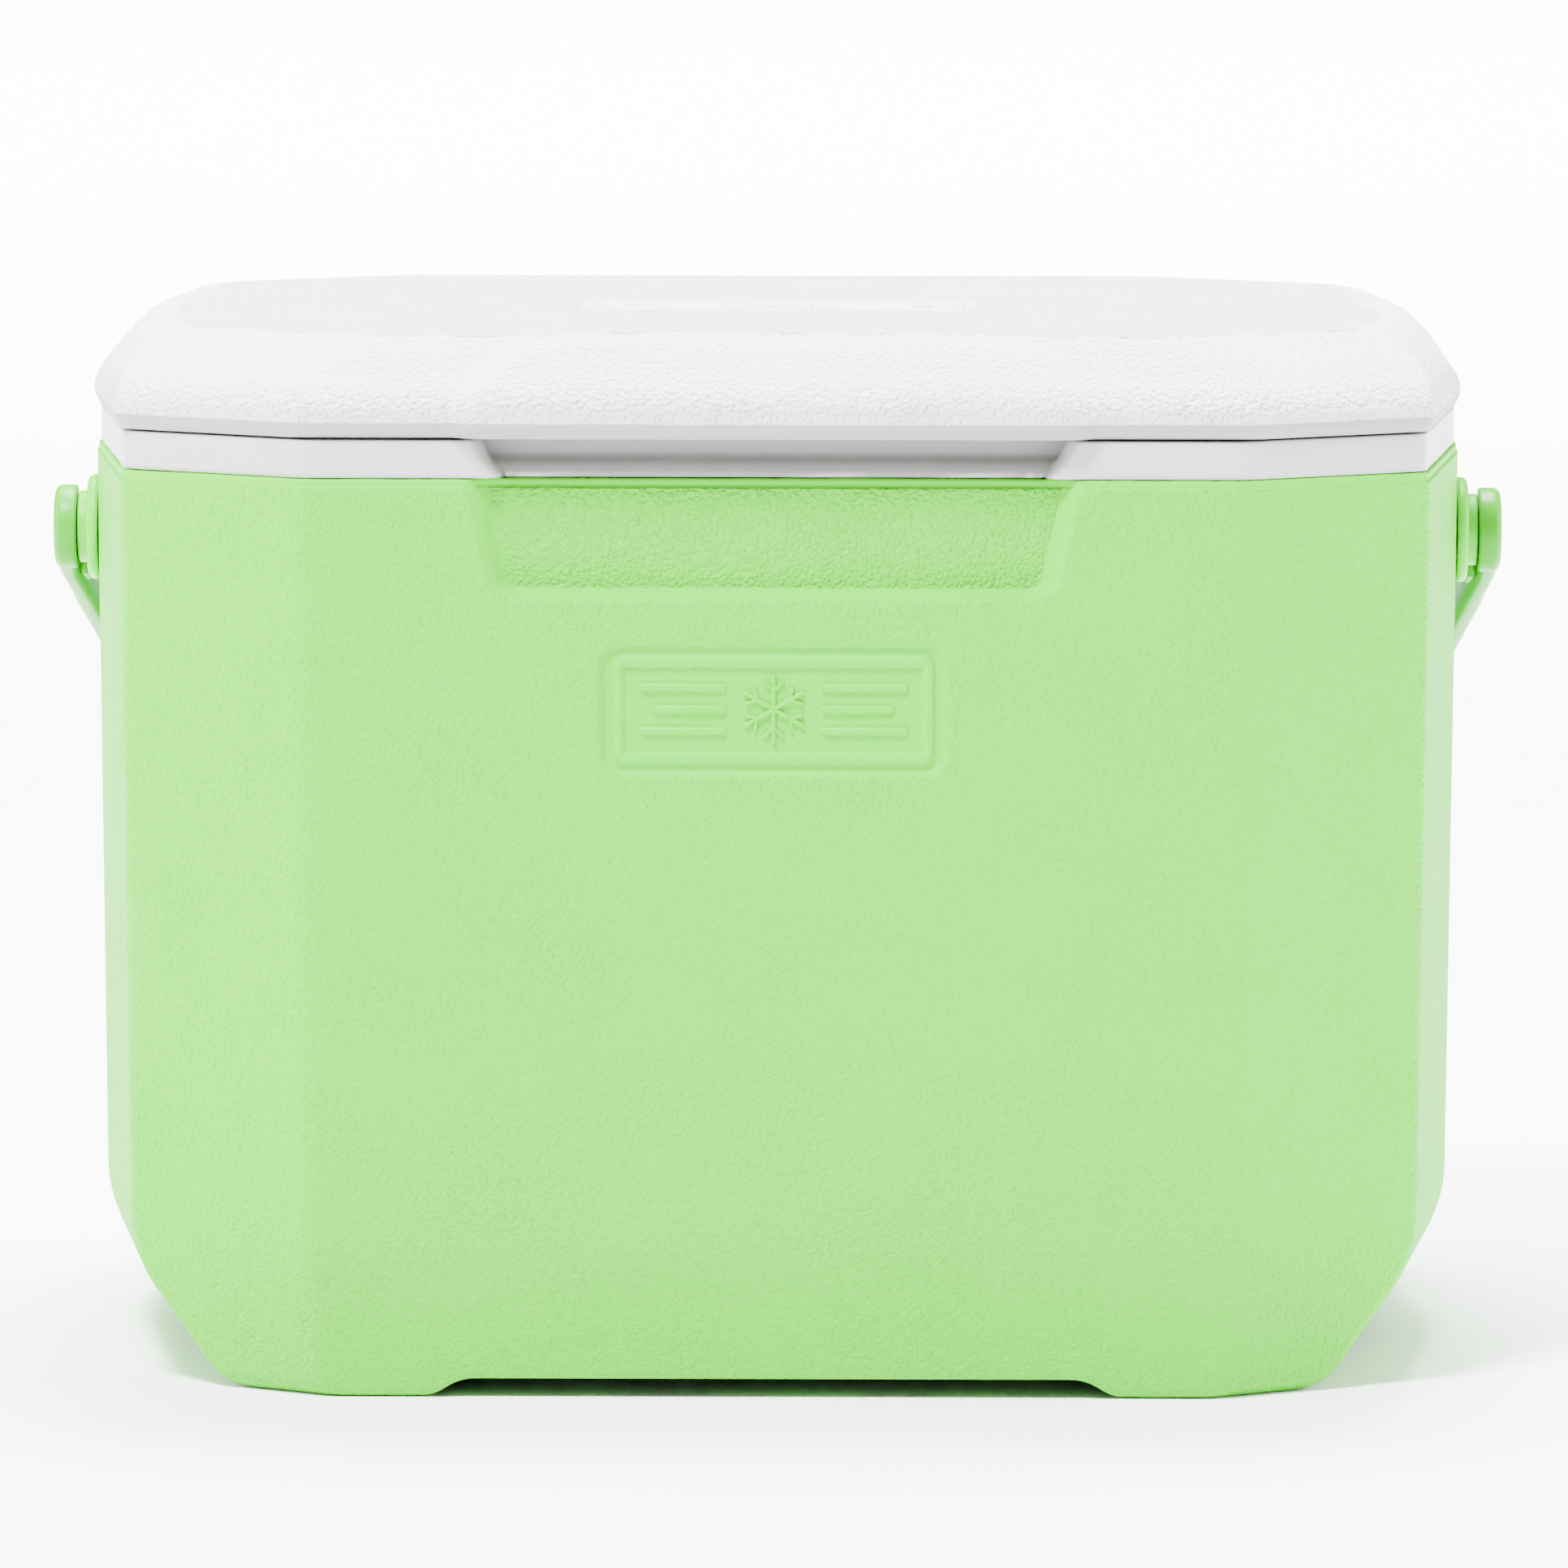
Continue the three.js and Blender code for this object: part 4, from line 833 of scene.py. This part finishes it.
def on_front(points):
    z = PANEL["z"] + points[:, :, 1]
    floor = -HALF_DEPTH + FRONT_LEAN * (SHELL_TOP - z) + PANEL["depth"]
    return np.dstack([points[:, :, 0], floor - points[:, :, 2], z])


def on_lid(points):
    floor = LID_TOP - TOP_PANEL["depth"]
    return np.dstack([points[:, :, 0], TOP_PANEL["y"] + points[:, :, 1], floor + points[:, :, 2]])


front_beads = [on_front(points) for points in snowflake_and_bars(1.0)]
lid_beads = [on_lid(points) for points in snowflake_and_bars(1.18)]
front_emblem = make_piece("front_emblem", front_beads, "cooler_body", "green_shell")
lid_emblem = make_piece("lid_emblem", lid_beads, "lid", "white_lid")

# %% [markdown]
# ## Finishes
# Each finish is a Principled shader. What several finishes share is a node group, made once: the
# leather grain cut into the mould, the slow drift of tone in a large moulding, and the uneven sheen
# that handling leaves. Their sizes are in metres, because they read the object's own coordinates.

# %% Small helpers for nodes
def add(tree, kind, settings=None, **values):
    """Adds a node, sets its properties, and sets or links its inputs by name."""
    made = tree.nodes.new(kind)
    for key, value in (settings or {}).items():
        setattr(made, key, value)
    for key, value in values.items():
        socket = made.inputs[int(key[1:])] if key[0] == "_" else made.inputs[key.replace("_", " ")]
        if isinstance(value, bpy.types.NodeSocket):
            tree.links.new(value, socket)
        else:
            socket.default_value = value
    return made


def new_group(name, inputs, outputs):
    """A node group with named inputs (name, kind, default) and outputs (name, kind)."""
    group = bpy.data.node_groups.new(name, "ShaderNodeTree")
    for label, kind, default in inputs:
        socket = group.interface.new_socket(label, in_out="INPUT", socket_type=kind)
        if default is not None:
            socket.default_value = default
    for label, kind in outputs:
        group.interface.new_socket(label, in_out="OUTPUT", socket_type=kind)
    return group, group.nodes.new("NodeGroupInput").outputs, group.nodes.new("NodeGroupOutput").inputs


def math_node(tree, operation, a, b=0.0, clamp=False):
    return add(tree, "ShaderNodeMath", {"operation": operation, "use_clamp": clamp}, _0=a, _1=b).outputs[0]


# %% [markdown]
# The grain on a cooler is a leather grain: small rounded pebbles with creases between them, none
# the same. Smooth cell noise gives the pebbles, and the point that it reads is first pushed about
# by a softer noise, so that the creases wander. A slower noise makes some patches shallower.

# %% Leather grain
grain_group, given, result = new_group(
    "leather_grain",
    [("Vector", "NodeSocketVector", None), ("Pebble", "NodeSocketFloat", 0.0009),
     ("Mask", "NodeSocketFloat", 1.0)],
    [("Height", "NodeSocketFloat")])
per_metre = math_node(grain_group, "DIVIDE", 1.0, given["Pebble"])
push = add(grain_group, "ShaderNodeTexNoise", Vector=given["Vector"], Scale=per_metre, Detail=1.0)
pushed = add(grain_group, "ShaderNodeVectorMath", {"operation": "MULTIPLY_ADD"}, _0=push.outputs["Color"],
             _1=(0.0009, 0.0009, 0.0009), _2=given["Vector"])
cells = add(grain_group, "ShaderNodeTexVoronoi", {"feature": "SMOOTH_F1"}, Vector=pushed.outputs[0],
            Scale=per_metre, Smoothness=0.7)
fine = add(grain_group, "ShaderNodeTexNoise", Vector=given["Vector"],
           Scale=math_node(grain_group, "MULTIPLY", per_metre, 2.3), Detail=2.0)
patchy = add(grain_group, "ShaderNodeTexNoise", Vector=given["Vector"], Scale=38.0, Detail=1.0)
hollow = math_node(grain_group, "MULTIPLY", cells.outputs["Distance"], 1.3)
pebble = math_node(grain_group, "SUBTRACT", 1.0, hollow)
both = math_node(grain_group, "ADD", pebble, math_node(grain_group, "MULTIPLY", fine.outputs["Fac"], 0.45))
patch_depth = math_node(grain_group, "MULTIPLY", patchy.outputs["Fac"], 0.9)
depth_here = math_node(grain_group, "ADD", 0.55, patch_depth)
grain_here = math_node(grain_group, "MULTIPLY", both, depth_here)
masked = math_node(grain_group, "MULTIPLY", given["Mask"], grain_here)
grain_group.links.new(masked, result["Height"])
print("leather_grain nodes:", len(grain_group.nodes))

# %% [markdown]
# Plastic from one mould still isn't one even colour: it drifts a little where the melt flowed and
# cooled. The group lightens or darkens a colour by a slow noise and a faint finer one.

# %% Tone of a large moulding
tone_group, given, result = new_group(
    "mould_tone",
    [("Vector", "NodeSocketVector", None), ("Color", "NodeSocketColor", (0.5, 0.5, 0.5, 1.0)),
     ("Amount", "NodeSocketFloat", 0.05)],
    [("Color", "NodeSocketColor")])
slow = add(tone_group, "ShaderNodeTexNoise", Vector=given["Vector"], Scale=9.0, Detail=2.0)
quick = add(tone_group, "ShaderNodeTexNoise", Vector=given["Vector"], Scale=420.0, Detail=2.0)
mixed = math_node(tone_group, "ADD", math_node(tone_group, "MULTIPLY", slow.outputs["Fac"], 0.7),
                  math_node(tone_group, "MULTIPLY", quick.outputs["Fac"], 0.3))
drift = math_node(tone_group, "MULTIPLY", math_node(tone_group, "SUBTRACT", mixed, 0.5), given["Amount"])
factor = math_node(tone_group, "ADD", 1.0, drift)
tinted = add(tone_group, "ShaderNodeVectorMath", {"operation": "SCALE"}, _0=given["Color"], Scale=factor)
tone_group.links.new(tinted.outputs[0], result["Color"])

# %% [markdown]
# Sheen is never even either. Where hands and shelves have rubbed, the surface is a little glossier
# or duller, in soft patches and a few fine streaks.

# %% Uneven sheen
sheen_group, given, result = new_group(
    "handled_sheen",
    [("Vector", "NodeSocketVector", None), ("Roughness", "NodeSocketFloat", 0.5),
     ("Amount", "NodeSocketFloat", 0.08)],
    [("Roughness", "NodeSocketFloat")])
patches = add(sheen_group, "ShaderNodeTexNoise", Vector=given["Vector"], Scale=26.0, Detail=3.0)
stretched = add(sheen_group, "ShaderNodeVectorMath", {"operation": "MULTIPLY"}, _0=given["Vector"],
                _1=(60.0, 60.0, 900.0))
streaks = add(sheen_group, "ShaderNodeTexNoise", Vector=stretched.outputs[0], Scale=1.0, Detail=2.0)
uneven = math_node(sheen_group, "ADD", math_node(sheen_group, "MULTIPLY", patches.outputs["Fac"], 0.7),
                   math_node(sheen_group, "MULTIPLY", streaks.outputs["Fac"], 0.3))
offset = math_node(sheen_group, "MULTIPLY", math_node(sheen_group, "SUBTRACT", uneven, 0.5), given["Amount"])
sheen = math_node(sheen_group, "ADD", given["Roughness"], offset, clamp=True)
sheen_group.links.new(sheen, result["Roughness"])


# %% [markdown]
# A moulded plastic is then those three groups round one shader. The grain's height feeds a Bump
# node, whose distance is how deep the grain is in metres. Under it lies a much shallower ripple, the
# faint orange peel of a polished mould, which is all that a smooth part has. But for the slow drift
# of tone, each plastic is one colour all over. In the notch, under the sole and on the lid's lower
# band these soft lamps leave little shadow, so a piece's `open` number is low there and its colour
# is darkened to stand in for it. The lid's flat top is greyed a little in the same way. These are
# choices about shading: they aren't dirt, wear or a second plastic.

# %% Moulded plastics
def use_group(tree, group, **values):
    return add(tree, "ShaderNodeGroup", {"node_tree": group}, **values).outputs[0]


RIPPLE = 0.00002
SHEEN_SPREAD = 0.12
POLYETHYLENE_SPECULAR = 0.16


def moulded_plastic(name, colour, roughness, grain_depth=0.0, pebble_size=0.0009, tone=0.05,
                    closed_shade=1.0):
    """Principled plastic with the mould's grain where the piece's grain number is above 0, and painted
    shade where its open number is low: the colour falls to closed_shade where that number is 0."""
    material = bpy.data.materials.new(name)
    material.use_nodes = True
    tree = material.node_tree
    shader = tree.nodes["Principled BSDF"]
    place = add(tree, "ShaderNodeTexCoord").outputs["Object"]
    toned = use_group(tree, tone_group, Vector=place, Color=(*colour, 1.0), Amount=tone)
    if closed_shade != 1.0:
        open_part = add(tree, "ShaderNodeAttribute", {"attribute_name": "open"}).outputs["Fac"]
        shade = add(tree, "ShaderNodeMapRange", Value=open_part, To_Min=closed_shade, To_Max=1.0).outputs[0]
        toned = add(tree, "ShaderNodeVectorMath", {"operation": "SCALE"}, _0=toned, Scale=shade).outputs[0]
    tree.links.new(toned, shader.inputs["Base Color"])
    sheen_here = use_group(tree, sheen_group, Vector=place, Roughness=roughness, Amount=SHEEN_SPREAD)
    tree.links.new(sheen_here, shader.inputs["Roughness"])
    peel = add(tree, "ShaderNodeTexNoise", Vector=place, Scale=260.0, Detail=2.0)
    facing_out = add(tree, "ShaderNodeBump", Height=peel.outputs["Fac"], Distance=RIPPLE,
                     Strength=1.0).outputs[0]
    if grain_depth:
        mask = add(tree, "ShaderNodeAttribute", {"attribute_name": "grain"}).outputs["Fac"]
        height = use_group(tree, grain_group, Vector=place, Pebble=pebble_size, Mask=mask)
        facing_out = add(tree, "ShaderNodeBump", Height=height, Distance=grain_depth, Strength=1.0,
                         Normal=facing_out).outputs[0]
    tree.links.new(facing_out, shader.inputs["Normal"])
    shader.inputs["Specular IOR Level"].default_value = POLYETHYLENE_SPECULAR
    return material


def clothe(piece, material):
    piece.data.materials.clear()
    piece.data.materials.append(material)


GREEN = (0.062, 0.50, 0.0)
BAIL_GREEN = (0.036, 0.31, 0.0)
# closed_shade is the deepest painted shade, where a piece's open number is 0.
green_shell = moulded_plastic("green_shell_grain", GREEN, 0.55, 0.0006, 0.0012, closed_shade=0.15)
green_polished = moulded_plastic("green_polished", GREEN, 0.38)
green_handle = moulded_plastic("green_bail_smooth", BAIL_GREEN, 0.36)
white_lid = moulded_plastic("white_lid_grain", (0.64, 0.64, 0.64), 0.5, 0.0012, 0.0014, tone=0.025,
                            closed_shade=0.45)
white_emblem = moulded_plastic("white_emblem_polished", (0.60, 0.60, 0.60), 0.38, tone=0.025)
white_liner = moulded_plastic("white_liner_smooth", (0.44, 0.44, 0.44), 0.32, tone=0.03, closed_shade=0.5)
white_tray = moulded_plastic("white_tray_smooth", (0.60, 0.60, 0.60), 0.34, tone=0.03)
white_hinge = moulded_plastic("white_hinge_smooth", (0.55, 0.55, 0.545), 0.38, tone=0.04)
clothe(shell_piece, green_shell)
clothe(lid_piece, white_lid)
clothe(liner_piece, white_liner)
clothe(bail_piece, green_handle)
clothe(front_emblem, green_polished)
clothe(lid_emblem, white_emblem)
for name in ("left", "right"):
    clothe(bpy.data.objects[f"boss_skin_{name}"], green_polished)
    clothe(bpy.data.objects[f"pin_skin_{name}"], green_polished)

# %% [markdown]
# Inside the walls is rigid foam, poured as a liquid that rises and sets: a pale straw colour with
# fine open cells. The small metal parts are zinc plated, with a faint brushed grain and a bloom.

# %% Foam and zinc
foam = bpy.data.materials.new("urethane_foam")
foam.use_nodes = True
tree = foam.node_tree
shader = tree.nodes["Principled BSDF"]
place = add(tree, "ShaderNodeTexCoord").outputs["Object"]
straw = use_group(tree, tone_group, Vector=place, Color=(0.80, 0.68, 0.36, 1.0), Amount=0.3)
tree.links.new(straw, shader.inputs["Base Color"])
bubbles = add(tree, "ShaderNodeTexVoronoi", Vector=place, Scale=1600.0)
pores = add(tree, "ShaderNodeBump", Height=bubbles.outputs["Distance"], Distance=0.0003, Strength=1.0)
tree.links.new(pores.outputs[0], shader.inputs["Normal"])
shader.inputs["Roughness"].default_value = 0.95

zinc = bpy.data.materials.new("zinc_plate")
zinc.use_nodes = True
tree = zinc.node_tree
shader = tree.nodes["Principled BSDF"]
place = add(tree, "ShaderNodeTexCoord").outputs["Object"]
bloom = use_group(tree, tone_group, Vector=place, Color=(0.60, 0.61, 0.63, 1.0), Amount=0.3)
tree.links.new(bloom, shader.inputs["Base Color"])
brush_sheen = use_group(tree, sheen_group, Vector=place, Roughness=0.34, Amount=0.3)
tree.links.new(brush_sheen, shader.inputs["Roughness"])
shader.inputs["Metallic"].default_value = 1.0
brushed = add(tree, "ShaderNodeTexNoise", Vector=place, Scale=2400.0, Detail=2.0)
scratch = add(tree, "ShaderNodeBump", Height=brushed.outputs["Fac"], Distance=0.00003, Strength=1.0)
tree.links.new(scratch.outputs[0], shader.inputs["Normal"])

for name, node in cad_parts.items():
    if "leaf" in name or name == "lid_liner":
        clothe(node, white_hinge if "leaf" in name else white_tray)
    elif "foam" in name:
        clothe(node, foam)
    elif "screw" in name or "hinge_pin" in name or "retainer" in name:
        clothe(node, zinc)

# %% [markdown]
# ## The studio
# A plain pale floor runs out past the edge of the view, so it is the background too. A dim even sky
# fills the shadows. The key lamp hangs high, a little in front and to the left, so its light grazes
# the front and picks out the grain. One lamp hangs above and behind, one stands at each side, and a
# broad one lights the floor far behind.

# %% Floor, sky and lamps
floor_mesh = bpy.data.meshes.new("studio_floor")
reach = 40.0
floor_corners = [(-reach, -reach, 0), (reach, -reach, 0), (reach, reach, 0), (-reach, reach, 0)]
floor_mesh.from_pydata(floor_corners, [], [(0, 1, 2, 3)])
floor = bpy.data.objects.new("studio_floor", floor_mesh)
bpy.context.collection.objects.link(floor)
paper = bpy.data.materials.new("studio_paper")
paper.use_nodes = True
tree = paper.node_tree
shader = tree.nodes["Principled BSDF"]
place = add(tree, "ShaderNodeTexCoord").outputs["Object"]
pale = use_group(tree, tone_group, Vector=place, Color=(0.95, 0.95, 0.95, 1.0), Amount=0.01)
tree.links.new(pale, shader.inputs["Base Color"])
shader.inputs["Roughness"].default_value = 0.9
clothe(floor, paper)

SKY = 0.3
world = bpy.data.worlds.new("light_tent")
world.use_nodes = True
world.node_tree.nodes["Background"].inputs["Color"].default_value = (1.0, 1.0, 1.0, 1.0)
world.node_tree.nodes["Background"].inputs["Strength"].default_value = SKY
bpy.context.scene.world = world


def soft_lamp(name, place, target, size, power):
    """A square area lamp at a place, facing a target."""
    light = bpy.data.lights.new(name, "AREA")
    light.energy = power
    light.size = size
    lamp = bpy.data.objects.new(name, light)
    bpy.context.collection.objects.link(lamp)
    lamp.location = place
    lamp.rotation_euler = (Vector(target) - Vector(place)).to_track_quat("-Z", "Y").to_euler()
    return lamp


# %% Hang the lamps
soft_lamp("key", (-0.65, -1.15, 2.4), (0, 0, 0.1), 0.5, 310)
soft_lamp("top_back", (0.1, 0.55, 2.3), (0, 0, 0.1), 0.8, 270)
backdrop_lamp = soft_lamp("background", (0.0, 6.6, 4.5), (0, 6.6, 0), 9.0, 4200)
backdrop_lamp.data.spread = math.radians(90)
soft_lamp("left_side", (-2.6, -0.1, 1.0), (0, 0, 0.15), 1.6, 140)
soft_lamp("right_side", (2.6, -0.1, 1.0), (0, 0, 0.15), 1.6, 150)

# %% [markdown]
# The camera stands about three metres off, a little above the lid, with a long lens, so the sides
# draw in very little with distance.

# %% Camera
camera_data = bpy.data.cameras.new("camera")
camera_data.lens = 245.0
camera_data.sensor_width = 36.0
camera_data.clip_end = 200
camera = bpy.data.objects.new("camera", camera_data)
bpy.context.collection.objects.link(camera)
stand = Vector((0.0237, -3.1481, 0.5409))
aim = Vector((0.00203, -0.00813, 0.16075))
camera.location = stand
camera.rotation_mode = "QUATERNION"
camera.rotation_quaternion = (aim - stand).to_track_quat("-Z", "Y") @ Quaternion((0, 0, 1), 0.0017)
bpy.context.scene.camera = camera
